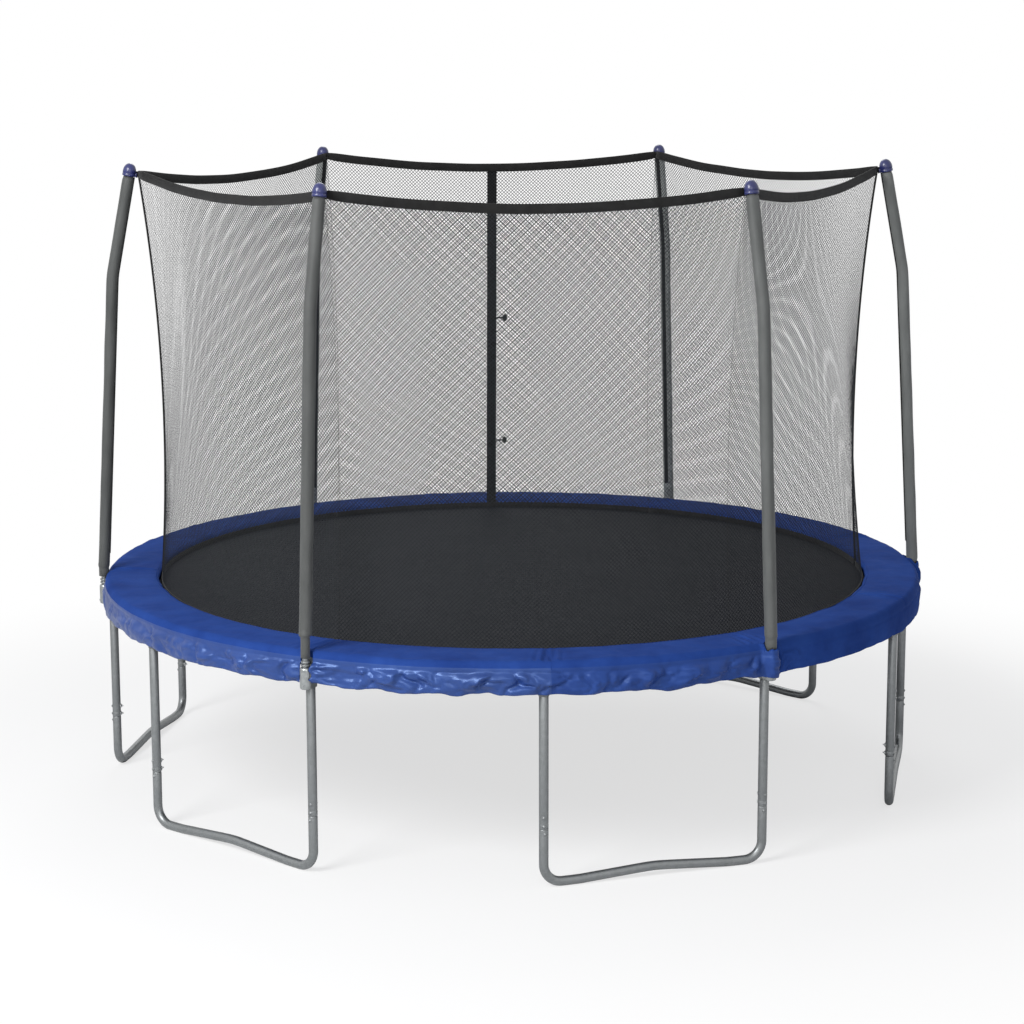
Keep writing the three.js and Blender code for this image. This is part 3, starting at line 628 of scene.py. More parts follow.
def saddle():
    """The pressed saddle bracket at the foot of a pole, with its clamp bolt and two side bolts."""
    nose, half, steps = 0.022, 0.0242, 16
    shoulder = POLE_BASE_R - nose
    tail = RAIL_R - 0.010
    outer = [(tail, -half)]
    for i in range(steps + 1):
        a = -pi / 2 + pi * i / steps
        outer.append((POLE_BASE_R + nose * cos(a), half * sin(a)))
    outer.append((tail, half))
    seat = SOCKET_R + 0.0006
    start = acos(-0.010 / seat)
    inner = []
    for i in range(steps + 1):
        a = start - 2 * start * i / steps
        inner.append((RAIL_R + seat * cos(a), seat * sin(a)))
    rows = [(POLE_FOOT_Z, 0.004), (POLE_FOOT_Z + 0.002, 0.0012), (POLE_FOOT_Z + 0.005, 0.0), (0.846, 0.0),
            (0.853, 0.001), (SADDLE_TOP, 0.004)]
    loops = []
    for z, inset in rows:
        loop = []
        for x, y in outer:
            dx = x - POLE_BASE_R
            shrink = 1 - inset / hypot(dx, y) if x > shoulder else 1
            ys = y * shrink if x > shoulder else copysign(half - inset, y)
            loop.append((POLE_BASE_R + dx * shrink, ys, z))
        loops.append(loop + [(x, y, z) for x, y in inner])
    build = Build(*stacked(loops))
    build.join(bolt_head(Vector((POLE_BASE_R + nose - 0.0008, 0, 0.785)), Vector((1, 0, 0)), 0.0045, 0.004))
    for side in (-1, 1):
        spot = Vector((RAIL_R + 0.004, side * (half - 0.0006), 0.812))
        build.join(bolt_head(spot, Vector((0, side, 0)), 0.0050, 0.0032))
    return build


def pole_rings():
    """Two pressed beads on a pole between its bracket and its sleeve."""
    build = Build()
    side, crest = 0.0175, 0.0185
    for z in (0.8625, 0.876):
        profile = [(POLE_R, z), (side, z), (crest, z + 0.002), (crest, z + 0.006), (side, z + 0.008),
                   (POLE_R, z + 0.008)]
        ring = Build(*lathe(profile + profile[:1], 24))
        build.join(ring.moved(Matrix.Translation((POLE_BASE_R, 0, 0))))
    return build


# Length and radius of the drawn-in foot of a sleeve, by pole
TIED = {4: (0.088, 0.0185), 3: (0.042, 0.0228), 5: (0.050, 0.0235)}


def foam_sleeve(k):
    """Foam tube in its cover, with a hem at each end, slight dents, one long seam and a drawn-in foot."""
    path = pole_path(FOAM_FOOT_Z, CAP_BORE + GAP, 0.018)
    tied_length, tied_r = TIED.get(k, (0.0, FOAM_R))
    if tied_length:
        edge = FOAM_FOOT_Z + tied_length
        path = [p for p in path if abs(p.z - edge) > 0.008]
        path += [Vector((POLE_BASE_R, 0, edge + d)) for d in (-0.005, -0.0015, 0.0015, 0.005)]
        path.sort(key=lambda p: p.z)
    count, sides = len(path), 28
    outlines = np.zeros((count, sides, 2))
    for i, point in enumerate(path):
        from_end = min((point - path[0]).length, (path[-1] - point).length)
        hem = -0.0035 * exp(-((from_end - 0.012) / 0.004) ** 2)
        hem -= 0.004 * exp(-(from_end / 0.003) ** 2)
        for j in range(sides):
            a = j / sides * TURN
            dent = 0.0016 * wander(cos(a) * 1.3, sin(a) * 1.3, point.z * 7, 11.0 * k)
            seam = -0.0014 * exp(-((j - 21) / 0.7) ** 2)
            r = FOAM_R - 0.0012 + dent + hem + seam
            if tied_length:
                away = point.z - FOAM_FOOT_Z - tied_length
                r = tied_r + (r - tied_r) * min(1, max(0, 0.5 + away / 0.006))
            outlines[i, j] = (r * cos(a), r * sin(a))
    return Build(*rings(path, outlines, (0, 1, 0)))


def dark_sleeve_strip():
    """A dark strip in the black webbing's material, down the inboard face of a sleeve from near the cap to
    above the pad.
    """
    path = [p for p in pole_path(FOAM_FOOT_Z, CAP_BORE + 0.002, 0.03) if p.z > FOAM_FOOT_Z + 0.09]
    arc = np.radians(np.linspace(-19, 19, 7))
    around = np.stack([np.sin(arc), np.cos(arc)], 1)
    outline = np.concatenate([around * (FOAM_R + 0.0012), around[::-1] * (FOAM_R - 0.0030)])
    return Build(*rings(path, outline, (0, 1, 0)))


def pole_cap():
    """Moulded cap: rolled rim, grooved skirt, dome, and the lug that carries the net's strap."""
    bore, ceiling, groove, base = 0.0140, CAP_BORE + 0.0008, CAP_R - 0.0014, 0.020
    profile = [(0, ceiling), (bore, ceiling), (bore, 0.0), (CAP_R - 0.002, 0.0), (CAP_R - 0.0004, 0.0015),
               (CAP_R, 0.004), (CAP_R, 0.010), (groove, 0.0115), (groove, 0.0125), (CAP_R - 0.0002, 0.0140)]
    steps = 14
    for i in range(steps):
        a = pi / 2 * i / steps
        profile.append((CAP_R * cos(a) ** 0.9, base + (CAP_H - base) * sin(a)))
    build = Build(*lathe(profile + [(0.0, CAP_H)], 32))
    build.join(bezel(-0.0300, 0, 0.009, (0.0048, 0.008, 0.009)))
    return build


def add_poles():
    path = pole_path(POLE_FOOT_Z, 0.0002)
    radii = np.full(len(path), POLE_R)
    radii[0] = radii[-1] = POLE_R - 0.0008
    bare = Build(*tube(path, radii, 20, (0, 1, 0)))
    bare.join(pole_rings())
    bracket, strap, cap = saddle(), dark_sleeve_strip(), pole_cap()
    for k in range(LEGS):
        turn = spin(k)
        piece(f"bent_pole_{k + 1}", bare.moved(turn), STEEL, "galvanised_tube",
              node=f"enclosure_pole_{k + 1}")
        bright = piece(f"saddle_bracket_{k + 1}", bracket.moved(turn), BRACKET, "galvanised_tube")
        bright.data.set_sharp_from_angle(angle=radians(40))
        sleeve = piece(f"sleeve_cover_{k + 1}", foam_sleeve(k).moved(turn), FOAMS[k], "grey_foam",
                       node=f"foam_sleeve_{k + 1}")
        # A dark strip down each sleeve's inboard face.
        piece(f"dark_sleeve_strip_{k + 1}", strap.moved(turn), BAND, "net_cord")
        piece(f"domed_cap_{k + 1}", cap.moved(tip_frame(k)), CAP, "blue_cap", node=f"pole_cap_{k + 1}")


# Bed

SECTORS = 12
SPRINGS = 72
MAT_RADII = [0.0, 0.05, 0.12, 0.2, 0.3, 0.4, 0.5, 0.6, 0.7, 0.8, 0.9, 1.0, 1.1, 1.2, 1.3, 1.4, 1.48, 1.53,
             1.552, 1.554, 1.596, 1.598, MAT_R]
HEM_IN_R = 1.553
HEM_OUT_R = 1.597
RING_R = 1.611
RING_Z = MAT_Z - 0.0015


def add_mat():
    """The mat in twelve flat sectors, each a thin slab from the middle to its edge, with a raised hem near
    the rim.
    """
    around = 8
    columns, rows = around + 1, len(MAT_RADII)
    step = TURN / SECTORS
    top = rows * columns
    for s in range(SECTORS):
        points, faces = [], []
        for level in (MAT_Z - 0.003, MAT_Z - 0.0009):
            for r in MAT_RADII:
                hem = 0.0009 if level > MAT_Z - 0.002 and HEM_IN_R < r < HEM_OUT_R else 0.0
                for j in range(columns):
                    a = s * step + step * j / around
                    points.append((r * cos(a), r * sin(a), level + hem))
        for i in range(rows - 1):
            for j in range(around):
                a, b = i * columns + j, (i + 1) * columns + j
                faces.append((a, a + 1, b + 1, b))
                faces.append((top + a, top + b, top + b + 1, top + a + 1))
        last = (rows - 1) * columns
        for j in range(around):
            faces.append((last + j, last + j + 1, top + last + j + 1, top + last + j))
        for i in range(rows - 1):
            a, b = i * columns, (i + 1) * columns
            faces.append((a, b, top + b, top + a))
            faces.append((a + around, top + a + around, top + b + around, b + around))
        sector = piece(f"mat_sector_{s + 1}", Build(points, faces), MAT, "woven_mat", None, smooth=False)
        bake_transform(sector)
        if s == 0:
            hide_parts("jump_mat")


def hooked_spring():
    """One extension spring along +X from the mat's ring to the rail, with the V-ring that it hooks to."""
    start, stop, turns = 1.632, 1.774, 26
    t = np.linspace(0, 1, turns * 8 + 1)
    low, high = RING_Z, RAIL_Z + 0.0025
    r = 0.0078 * np.clip(np.minimum(t, 1 - t) * 26, 0.25, 1.0)
    a = t * turns * TURN
    coil = np.stack([start + (stop - start) * t, r * np.cos(a), low + (high - low) * t + r * np.sin(a)], 1)
    hook_in = [(1.6155, 0, low - 0.002), (1.612, 0, low + 0.001), (1.614, 0, low + 0.004),
               (1.620, 0, low + 0.003)]
    hook_out = [(1.781, 0, high + 0.003), (1.7862, 0, high + 0.004), (1.7885, 0, high + 0.001),
                (1.7882, 0, high - 0.003)]
    build = Build(*tube(np.concatenate([hook_in, coil, hook_out]), 0.0014, 5, (0, 0, 1)))
    ring = [(1.606, -0.013, RING_Z), (1.622, 0.0, RING_Z), (1.606, 0.013, RING_Z)]
    build.add(*tube(ring, 0.0018, 6, (0, 0, 1), closed=True))
    return build


def add_springs():
    spring = hooked_spring()
    per = SPRINGS // SECTORS
    for s in range(SECTORS):
        build = Build()
        for i in range(per):
            build.join(spring.moved(Matrix.Rotation(TURN * (s * per + i + 0.5) / SPRINGS, 4, "Z")))
        node = None if s else "bed_springs"
        piece(f"coil_springs_{s + 1}", build, ZINC, "zinc_spring", node=node)
    path = [(*point, RING_Z) for point in circle(RING_R, 288)]
    hem = Build(*rings(path, ribbon(0.004, 0.012), (0, 0, 1), closed=True))
    piece("mat_edge_webbing", hem, BAND, "zinc_spring")


# The cover's radial seams by angle, and the poles whose brackets it wraps
PAD_SEAMS = [radians(a) for a in (-89.2, -61, -27, 17, 60, 122, 180, 240)]
WRAPPED_POLES = (0, 5)
PAD_COLUMNS = 2160
PAD_MIDDLE_R = 1.72
CROWN_ROWS = 27
SKIRT_ROWS = 19
ROLL_SHARE = 0.86
ROLL_R = 0.026
BREAK_Z = 0.8825
COVER_W = 0.24
PLEAT_H, PLEAT_PITCH, PLEAT_REACH = 0.0042, 0.034, 0.055
TUCK_DEPTH, TUCK_HALF = 0.0085, 0.009
LIP_Z = 0.8885
SHEET_T = 0.0026
HOLE_R = 0.0292
FOLD_PITCH = 0.064
FOLD_HEIGHT = 0.043
SLIT_AWAY = 0.040
LOOSE_AT, LOOSE_HALF = radians(-97), radians(44)
TAUT_AT, TAUT_HALF = radians(-34), radians(21)


def rim_gap(angle, other):
    return (angle - other + pi) % TURN - pi


def folds(rim, down, pitch, seed, bow=0.9, tilt=0.8):
    """Height of crumpled cloth round the rim and down it: bowed facets that meet in sharp creases."""
    around = round(TURN * SKIRT_R / pitch)
    deep = 32
    chance = np.random.default_rng(seed).random((around, deep, 5))
    u, v = rim * around / (TURN * SKIRT_R), down / pitch + 8
    column, row = np.floor(u).astype(int), np.floor(v).astype(int)
    best = np.full(u.shape, -9.0)
    for i in (-2, -1, 0, 1, 2):
        for j in (-2, -1, 0, 1, 2):
            own = chance[(column + i) % around, (row + j) % deep]
            x, y = u - column - i - own[..., 0], v - row - j - own[..., 1]
            lean = tilt * 2 * ((own[..., 3] - 0.5) * x + (own[..., 4] - 0.5) * y)
            best = np.maximum(best, 0.8 * (own[..., 2] - 0.5) + lean - bow * (x * x + y * y))
    return best


def slack(angle):
    """How loosely the cover hangs at an angle round the rim, 0 to 1."""
    loose = 0.42 + 0.58 * np.exp(-(rim_gap(angle, LOOSE_AT) / LOOSE_HALF) ** 4)
    return loose * (1 - 0.75 * np.exp(-(rim_gap(angle, TAUT_AT) / TAUT_HALF) ** 6))


def wrap_bulge(angle):
    """How far the cover stands out where it wraps a pole's bracket, and the slit beside the wrap."""
    out = 0.0
    for k in WRAPPED_POLES:
        away = rim_gap(angle, k * TURN / LEGS) * SKIRT_R
        out = out + 0.042 * np.exp(-(away / 0.030) ** 4)
        out = out + 0.009 * np.exp(-((away - SLIT_AWAY - 0.012) / 0.008) ** 2)
    return out


def pad_cover():
    """The cover's outer face as a grid, columns round the rim by rows from the inner edge to the hem."""
    flat = np.linspace(0.012, ROLL_SHARE, CROWN_ROWS - 9)
    roll = np.linspace(ROLL_SHARE, 1.0, 10)[1:]
    share = np.concatenate([flat, roll, np.linspace(1.0, 2.0, SKIRT_ROWS)[1:]])[None, :]
    angles = np.arange(PAD_COLUMNS) / PAD_COLUMNS * TURN
    angle = angles[:, None]
    loose = slack(angle)
    rim = angle * SKIRT_R
    crown = np.minimum(share, ROLL_SHARE) / ROLL_SHARE
    roll = np.clip((share - ROLL_SHARE) / (1 - ROLL_SHARE), 0, 1) * pi / 2
    down = np.clip(share - 1, 0, 1)
    hanging = share > 1
    on_top = np.sin(pi * crown / 2) * (share <= ROLL_SHARE)

    soft = np.zeros((PAD_COLUMNS, share.size))
    shear = np.zeros_like(soft)
    for i, a in enumerate(angles):
        c, d = cos(a), sin(a)
        for j, one in enumerate(share[0]):
            soft[i, j] = wander(c * 13, d * 13, one * 2, 5.0) + 0.5 * wander(c * 34, d * 34, one * 5, 9.0)
            shear[i, j] = wander(c * 16, d * 16, one * 1.5, 21.0)
    length = share * COVER_W - down * (COVER_W - (BREAK_Z - SKIRT_LOW))
    u, v = rim + 0.07 * shear + 0.25 * (length - COVER_W), length + 0.03 * soft
    large = folds(u, v * 1.15, FOLD_PITCH, 3)
    small = folds(u + 0.4 * v, v, FOLD_PITCH * 0.48, 5)
    hollow = folds(u + 0.05 * soft, v * 0.9, FOLD_PITCH * 1.25, 11)
    crumple = (0.62 * large + 0.20 * small - 0.46 * hollow + 0.24) * loose

    top = PAD_LOW + 0.0170 + (1 - np.abs(2 * crown - 1) ** 5 * (crown < 0.5)) * 0.009
    top = top + 0.0035 * np.sin(pi * np.minimum(crown * 0.8 + 0.1, 1))
    ripple = np.clip((crown - 0.35) / 0.65, 0, 1) * np.cos(roll)
    top = top + 0.0026 * soft * np.sin(pi * np.minimum(crown, 0.5))
    top = top + 0.006 * (crumple - 0.1) * ripple ** 2
    hem = SKIRT_LOW + 0.010 * soft[:, -1:] * loose + 0.004 * soft[:, -1:]
    z = top - (top - BREAK_Z) * (1 - np.cos(roll)) - (BREAK_Z - hem) * down
    for seam in PAD_SEAMS:
        away = rim_gap(angle, seam) * PAD_MIDDLE_R
        skew = away + 0.03 * (crown - 0.5)
        pleats = PLEAT_H * np.sin(skew * TURN / PLEAT_PITCH) * np.exp(-(skew / PLEAT_REACH) ** 2)
        z = z + (pleats - TUCK_DEPTH * np.exp(-(away / TUCK_HALF) ** 2)) * on_top
    least = np.where(share < 0.98, PAD_LOW + 0.0035 * np.cos(roll) - 0.012 * np.sin(roll), 0)
    z = np.where(hanging, z, np.maximum(z, least))

    inner = PAD_IN_R + 0.004 * soft[:, :1] + 0.0045 * (folds(rim, 0 * rim, 0.085, 17) - 0.1)
    outer = SKIRT_R + 0.002 + wrap_bulge(angle) - ROLL_R
    r = inner + (outer - inner) * crown + ROLL_R * np.sin(roll)
    near = np.exp(-(down / 0.10) ** 2) * hanging
    hang = np.sin(pi * np.clip(down * 0.85 + 0.08, 0, 1))
    swing = FOLD_HEIGHT * crumple * (1 - 0.8 * near) * (0.45 + 0.55 * hang) - 0.004 * near + 0.003 * hang
    r = r + np.where(hanging, swing, 0.004 * crumple * np.sin(roll))
    for k in WRAPPED_POLES:
        away = rim_gap(angle, k * TURN / LEGS) * SKIRT_R
        r = r - 0.030 * np.exp(-((away - SLIT_AWAY) / 0.0035) ** 2) * hanging
    r = np.maximum(r, np.where(share > 0.985, SKIRT_R - 0.0035, 0.0))
    return np.stack([r * np.cos(angle), r * np.sin(angle), z], -1)


def add_pad():
    grid = pad_cover()
    columns = len(grid)
    angles = np.arange(columns) / columns * TURN
    radial = np.stack([np.cos(angles), np.sin(angles), np.zeros(columns)], 1)
    inside = grid[:, :CROWN_ROWS - 1:-1, :] - radial[:, None, :] * SHEET_T
    under = []
    edge = np.minimum(np.hypot(grid[:, CROWN_ROWS - 1, 0], grid[:, CROWN_ROWS - 1, 1]), SKIRT_R + 0.03)
    for share in (1.0, 0.5, 0.02):
        ring = radial * (PAD_IN_R + 0.006 + (edge - 0.0085 - PAD_IN_R) * share)[:, None]
        ring[:, 2] = PAD_LOW
        under.append(ring[:, None, :])
    lip = radial * (np.hypot(grid[:, 0, 0], grid[:, 0, 1]) - SHEET_T)[:, None]
    lip[:, 2] = LIP_Z
    whole = np.concatenate([lip[:, None, :], grid, inside, *under], axis=1)
    n = whole.shape[1]
    faces = []
    for i in range(columns):
        a, b = i * n, ((i + 1) % columns) * n
        faces += [(a + j, b + j, b + (j + 1) % n, a + (j + 1) % n) for j in range(n)]
    pad = piece("vinyl_spring_pad", Build(whole.reshape(-1, 3), faces), VINYL, "blue_vinyl", None)
    pad.data.materials.append(GLOSSY_VINYL)
    pad.data.materials.append(SATIN_VINYL)
    slit = round(SLIT_AWAY / SKIRT_R / TURN * columns)
    taut = slit + columns * WRAPPED_POLES[1] // LEGS
    seam = round((1 + PAD_SEAMS[0] / TURN) * columns)
    for i, face in enumerate(pad.data.polygons):
        hanging = CROWN_ROWS - 2 <= i % n <= CROWN_ROWS + 2 * SKIRT_ROWS
        if hanging and slit <= i // n < taut:
            face.material_index = 1 if i // n < seam else 2
    hole = Build(*lathe([(0, 0.70), (HOLE_R, 0.70), (HOLE_R, 0.96), (0, 0.96)], 40))
    holes = Build()
    for k in range(LEGS):
        holes.join(hole.moved(spin(k) @ Matrix.Translation((POLE_BASE_R, 0, 0))))
    tool = piece("hole_tool", holes, VINYL, "blue_vinyl", None, smooth=False)
    cut = pad.modifiers.new("holes", "BOOLEAN")
    cut.operation = "DIFFERENCE"
    cut.object = tool
    cut.solver = "MANIFOLD"
    bpy.context.view_layer.update()
    shape = bpy.data.meshes.new_from_object(pad.evaluated_get(bpy.context.evaluated_depsgraph_get()))
    pad.modifiers.clear()
    pad.data = shape
    bpy.data.objects.remove(tool)
    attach(pad, "frame")
    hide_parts("spring_pad")
    add_stitching(grid)


def add_stitching(grid):
    """Thread along the cover's inner edge and its radial seams."""
    edge = grid[::2, 1, :] + np.array([0, 0, 0.0006])
    build = Build(*tube(edge, 0.0011, 6, (0, 0, 1), closed=True))
    for seam in PAD_SEAMS:
        column = round(seam / TURN * PAD_COLUMNS) % PAD_COLUMNS
        line = grid[column, 1:CROWN_ROWS:2, :] + np.array([0, 0, 0.0004])
        build.add(*tube(line, 0.0014, 6, (0, 0, 1)))
    piece("pad_piping", build, VINYL, "blue_vinyl")


# Net

def net_point(across, up, k, proud=0.0):
    """Points of panel k's middle surface, arrays of shares across and up, moved outward by proud."""
    across, up = np.broadcast_arrays(np.asarray(across, float), np.asarray(up, float))
    gap = 0.0002 / NET_FOOT_R
    a0, a1 = k * TURN / LEGS + gap, (k + 1) * TURN / LEGS - gap
    a = a0 + (a1 - a0) * across
    foot = np.stack([NET_FOOT_R * np.cos(a), NET_FOOT_R * np.sin(a), np.full(a.shape, NET_FOOT_Z)], -1)
    c0, c1 = (np.array([NET_CORNER_R * cos(e), NET_CORNER_R * sin(e), NET_TOP_Z]) for e in (a0, a1))
    head = c0 + (c1 - c0) * across[..., None]
    head[..., 2] -= NET_SAG * 4 * across * (1 - across)
    p = foot + (head - foot) * up[..., None]
    waist = NET_WAIST * 4 * up * (1 - up) * np.cos(pi * across) ** 2
    radius = np.hypot(p[..., 0], p[..., 1])
    p[..., :2] *= ((radius - waist + proud) / radius)[..., None]
    return p


def outward(points):
    return unit(np.array(points, float) * (1, 1, 0))


def drift(across, up, k):
    """Small slack of the knitted net at shares across and up: sideways, upward and outward, in metres."""
    x, y = NET_W * across + 2.3 * k, NET_H * up
    side = 0.0001 * np.sin(11 * x + 5 * y) + 0.0001 * np.sin(61 * x + 43 * y)
    rise = 0.0001 * np.sin(7 * x - 13 * y) + 0.0001 * np.sin(47 * x - 59 * y)
    out = 0.0002 * np.sin(9 * x + 3 * y) + 0.0001 * np.sin(5 * x - 21 * y)
    held = np.clip(np.minimum(np.minimum(across, 1 - across), np.minimum(up, 1 - up)) * 12, 0, 1)
    return side * held, rise * held, out * held


def net_mesh(k):
    """Knitted diamonds: two families of flat cords that cross."""
    build = Build()
    w, t = NET_CORD_W / 2, NET_CORD_T / 2
    cord = np.array([(0, -w), (t, 0), (0, w), (-t, 0)])
    nx, ny = NET_CELLS
    for rise in (1, -1):
        starts = [(i, 0 if rise > 0 else ny) for i in range(0, nx, 2)]
        starts += [(0, j) for j in range(2, ny, 2)]
        for i0, j0 in starts:
            run = min(nx - i0, (ny - j0) if rise > 0 else j0)
            steps = np.unique(np.append(np.arange(0, run, NET_STEP), run))
            across = (i0 + steps) / nx
            up = HEM_UP + (BAND_UP - HEM_UP) * (j0 + rise * steps) / ny
            side, lift, out = drift(across, up, k)
            path = net_point(across + side / NET_W, up + lift / NET_H, k)
            facing = outward(path)
            path = path + facing * (out + 0.00016 * rise)[:, None]
            build.add(*rings(path, cord, facing, capped=False))
    return build


# Each panel's upright edge: radial and tangential size of its webbing
SEAMS = ((0.0090, 0.0025), (0.0012, 0.0014), (0.0012, 0.0014), (0.0090, 0.0025), (0.0012, 0.0010),
         (0.0012, 0.0010))


def add_net():
    across = np.linspace(0.0, 1.0, 41)
    narrowing = np.exp(-(across / 0.02) ** 2) + np.exp(-((1 - across) / 0.02) ** 2)
    band = np.stack([ribbon(0.0045, w) for w in NET_BAND * (1 - 0.2 * narrowing)])
    for k in range(LEGS):
        mesh = piece(f"net_mesh_{k + 1}", net_mesh(k), CORD, "net_cord", smooth=False)
        mesh.visible_shadow = False
        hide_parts(f"safety_net_{k + 1}")
        path = net_point(across, BAND_UP, k)
        path[:, 2] += [0.0025 * wander(a * 9, k * 3.1, 0.0, 1.0) for a in across]
        build = Build(*rings(path, band, outward(path)))
        hem = net_point(across, HEM_UP, k)
        build.add(*rings(hem, ribbon(0.003, NET_HEM), outward(hem)))
        edge = net_point(0.0, np.linspace(0.004, 0.985, 40), k, 0.0008)
        build.add(*rings(edge, ribbon(*SEAMS[k]), outward(edge)))
        strap_top = tip_frame(k) @ Vector((-CAP_R - 0.0035, 0, 0.012))
        corner = Vector(net_point(0.0, 0.985, k))
        loop = [corner, corner.lerp(strap_top, 0.5) + Vector((0, 0, 0.004)), strap_top]
        build.add(*rings(loop, ribbon(0.003, 0.030), spin(k) @ Vector((0, 1, 0))))
        edging = piece(f"net_webbing_{k + 1}", build, BAND, "net_cord")


# Door

DOOR_PANEL = 1


def door_matrix():
    """Place of the door's parts: their origin at the panel's foot, X across, Y outward and Z up the net."""
    foot, head = (Vector(net_point(0.5, up, DOOR_PANEL)) for up in (0.0, 1.0))
    up = (head - foot).normalized()
    across = Vector((1, 0, 0))
    basis = Matrix((across, up.cross(across).normalized(), up)).transposed().to_4x4()
    return Matrix.Translation(foot) @ basis


def zip_strip():
    """The backing tape, two side tapes with their stitched welts, and the row of teeth."""
    heights = np.linspace(ZIP_LOW, ZIP_HIGH, 90)
    build = Build(*rings([(0.0, 0.0040, z) for z in heights], ribbon(0.030, 0.0012), (1, 0, 0)))
    for side in (-1, 1):
        shift = [0.0006 * wander(z * 9, side, 0, 2.0) for z in heights]
        path = [(side * 0.0125 + x, 0.0045, z) for x, z in zip(shift, heights)]
        build.add(*rings(path, ribbon(0.0228, 0.0020), (1, 0, 0)))
        path = [(side * 0.0205 + x, 0.0057, z) for x, z in zip(shift, heights)]
        build.add(*tube(path, 0.0012, 6, (1, 0, 0)))
    pitch = 0.0075
    for i in range(int((ZIP_HIGH - ZIP_LOW - 0.02) / pitch)):
        side = 1 if i % 2 else -1
        build.join(bezel(side * 0.0008, 0.0058, ZIP_LOW + 0.010 + i * pitch, (0.0026, 0.0014, 0.0024)))
    return build


def slider():
    """Two cheeks and two posts, the plate between them and the bar that the pull hangs on."""
    build = Build()
    for side in (-1, 1):
        build.join(bezel(side * 0.00535, 0.0083, SLIDER_MID, (0.0021, 0.0022, 0.0135)))
        build.join(bezel(side * 0.0059, 0.0143, SLIDER_MID, (0.0010, 0.0027, 0.0045)))
    build.join(bezel(0, 0.0104, SLIDER_MID, (0.0074, 0.0015, 0.0140)))
    bar = [(x, 0.0145, SLIDER_MID) for x in (-0.0062, 0.0062)]
    build.add(*tube(bar, 0.0009, 10, (0, 0, 1)))
    return build


def pull():
    """A flat tab with rounded ends and an eyelet at its lower one."""
    n = 20
    half, length, eye = 0.0045, 0.038, 0.0024
    outer, hole = [], []
    for i in range(n):
        a = TURN * i / n
        x, z = half * cos(a), half * sin(a)
        outer.append((x, z - 0.0018 - (0 if z > 0 else length - 2 * half)))
        hole.append((eye * cos(a), eye * sin(a) - (length - half) + 0.0008))
    points = [(x, y, SLIDER_MID + z) for y in (0.0133, 0.0157) for x, z in outer + hole]
    faces = []
    for j in range(n):
        k = (j + 1) % n
        faces += [(j, k, n + k, n + j), (2 * n + k, 2 * n + j, 3 * n + j, 3 * n + k)]
        faces += [(k, j, 2 * n + j, 2 * n + k), (n + j, n + k, 3 * n + k, 3 * n + j)]
    return Build(points, faces)


def clip(height, lobed):
    """A side-release style hook on a sewn strap."""
    root, steps = 0.0246, 28
    bends = ((0, 0.0058, 0), (0.010, 0.0070, 0.0005), (0.022, 0.0075, -0.0005), (0.034, 0.0073, 0))
    path = [(root + x, y, height + z) for x, y, z in bends]
    build = Build(*rings(path, ribbon(0.0017, 0.0088), (0, 1, 0)))
    centre = root + 0.0425
    loops = []
    for y, shrink in ((0.0108, 0.78), (0.0095, 0.95), (0.0066, 1.0), (0.0046, 0.97), (0.0037, 0.82)):
        loop = []
        for i in range(steps):
            a = TURN * i / steps
            lobe = 0.05 * cos(6 * a) if lobed else 0.0
            notch = 1 - 0.10 * exp(-(sin(a) / 0.16) ** 2) + lobe
            x = 0.0125 * shrink * notch * cos(a)
            z = 0.0176 * shrink * (1 - 0.06 * cos(2 * a)) * sin(a)
            loop.append((centre + x, y, height + z))
        loops.append(loop)
    build.add(*stacked(loops))
    for z in (-0.006, 0.006):
        build.join(bezel(centre, 0.0109, height + z, (0.007, 0.0005, 0.0016)))
    return build


def add_door():
    place = door_matrix()
    for name, build, look, slot, body, node in (
        ("zip_tapes", zip_strip(), TAPE, "zip_tape", "frame", "zip_strip"),
        ("zip_runner", slider(), PLASTIC, "zip_metal", "slider", "zip_slider"),
        ("zip_tab", pull(), PLASTIC, "zip_metal", "pull", "zip_pull"),
        ("lower_hook", clip(CLIP_LOW, False), PLASTIC, "clip_plastic", "clip_low", "door_clip_lower"),
        ("upper_hook", clip(CLIP_HIGH, True), PLASTIC, "clip_plastic", "clip_high", "door_clip_upper"),
    ):
        piece(name, build.moved(place), look, slot, body, node, smooth=False)


# Stage

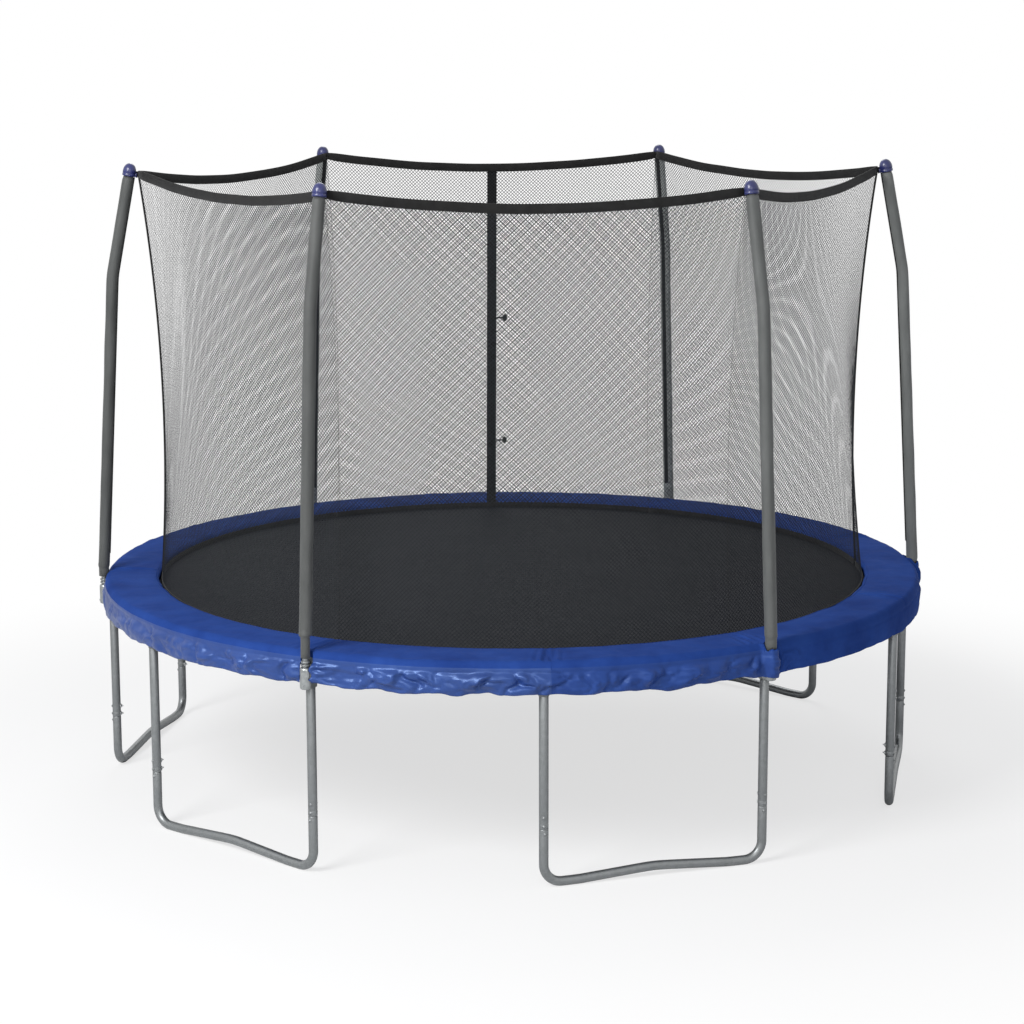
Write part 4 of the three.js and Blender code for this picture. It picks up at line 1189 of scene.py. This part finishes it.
def add_stage():
    """A floor that fades into white away from the trampoline."""
    mesh = bpy.data.meshes.new("floor")
    size = 600
    corners = [(-size, -size, 0), (size, -size, 0), (size, size, 0), (-size, size, 0)]
    mesh.from_pydata(corners, [], [(0, 1, 2, 3)])
    floor = add_object("floor", mesh)
    look = bpy.data.materials.new("pale_floor")
    look.use_nodes = True
    mesh.materials.append(look)
    tree = look.node_tree
    shader = tree.nodes["Principled BSDF"]
    feed(tree, shader, {"Base Color": (0.94, 0.94, 0.94, 1), "Roughness": 0.9, "Specular IOR Level": 0.1})
    glow = add_node(tree, "Emission", {"Color": (1, 1, 1, 1), "Strength": 1.0})
    place = add_node(tree, "TexCoord", {}).outputs["Object"]
    away = add_node(tree, "VectorMath", {0: place}, operation="LENGTH").outputs["Value"]
    fade = {"Value": away, "From Min": 2.3, "From Max": 4.4, "To Min": 0.68}
    far = add_node(tree, "MapRange", fade, interpolation_type="SMOOTHSTEP").outputs["Result"]
    rays = add_node(tree, "LightPath", {}).outputs
    seen = add_node(tree, "Math", {0: rays["Is Camera Ray"], 1: far}, operation="MULTIPLY").outputs["Value"]
    blend(tree, seen, shader.outputs["BSDF"], glow.outputs["Emission"], "Material Output")


def blend(tree, factor, first, second, output):
    """Send a mix of two shaders to the output node."""
    mix = add_node(tree, "MixShader", {"Fac": factor, 1: first, 2: second})
    feed(tree, tree.nodes[output], {"Surface": mix.outputs["Shader"]})


def add_light(name, place, target, size, power):
    data = bpy.data.lights.new(name, "AREA")
    data.shape = "DISK"
    data.size = size
    data.energy = power
    aim(add_object(name, data), place, target)


def add_world():
    """White for camera, glossy and transmission rays, a dimmer blue-white for the rest."""
    scene = bpy.context.scene
    world = bpy.data.worlds.new("studio")
    scene.world = world
    world.use_nodes = True
    tree = world.node_tree
    plain = tree.nodes["Background"]
    feed(tree, plain, {"Color": (0.93, 0.95, 1.0, 1), "Strength": 0.34})
    white = add_node(tree, "Background", {"Color": (1, 1, 1, 1), "Strength": 1.0})
    rays = add_node(tree, "LightPath", {}).outputs
    seen = rays["Is Camera Ray"]
    for kind in ("Is Glossy Ray", "Is Transmission Ray"):
        seen = add_node(tree, "Math", {0: seen, 1: rays[kind]}, operation="MAXIMUM").outputs["Value"]
    blend(tree, seen, plain.outputs["Background"], white.outputs["Background"], "World Output")
    scene.view_settings.view_transform = "Standard"


add_stage()
add_world()
add_light("key", (-5.5, -6.0, 6.5), (0, 0, 1.0), 4.0, 680)
add_light("fill", (-0.5, -9.0, 4.5), (0, 0, 1.2), 5.0, 130)
add_light("back", (0.0, 8.0, 8.0), (0, 0, 1.0), 5.0, 200)

add_legs()
add_poles()
add_mat()
add_springs()
add_pad()
add_net()
add_door()
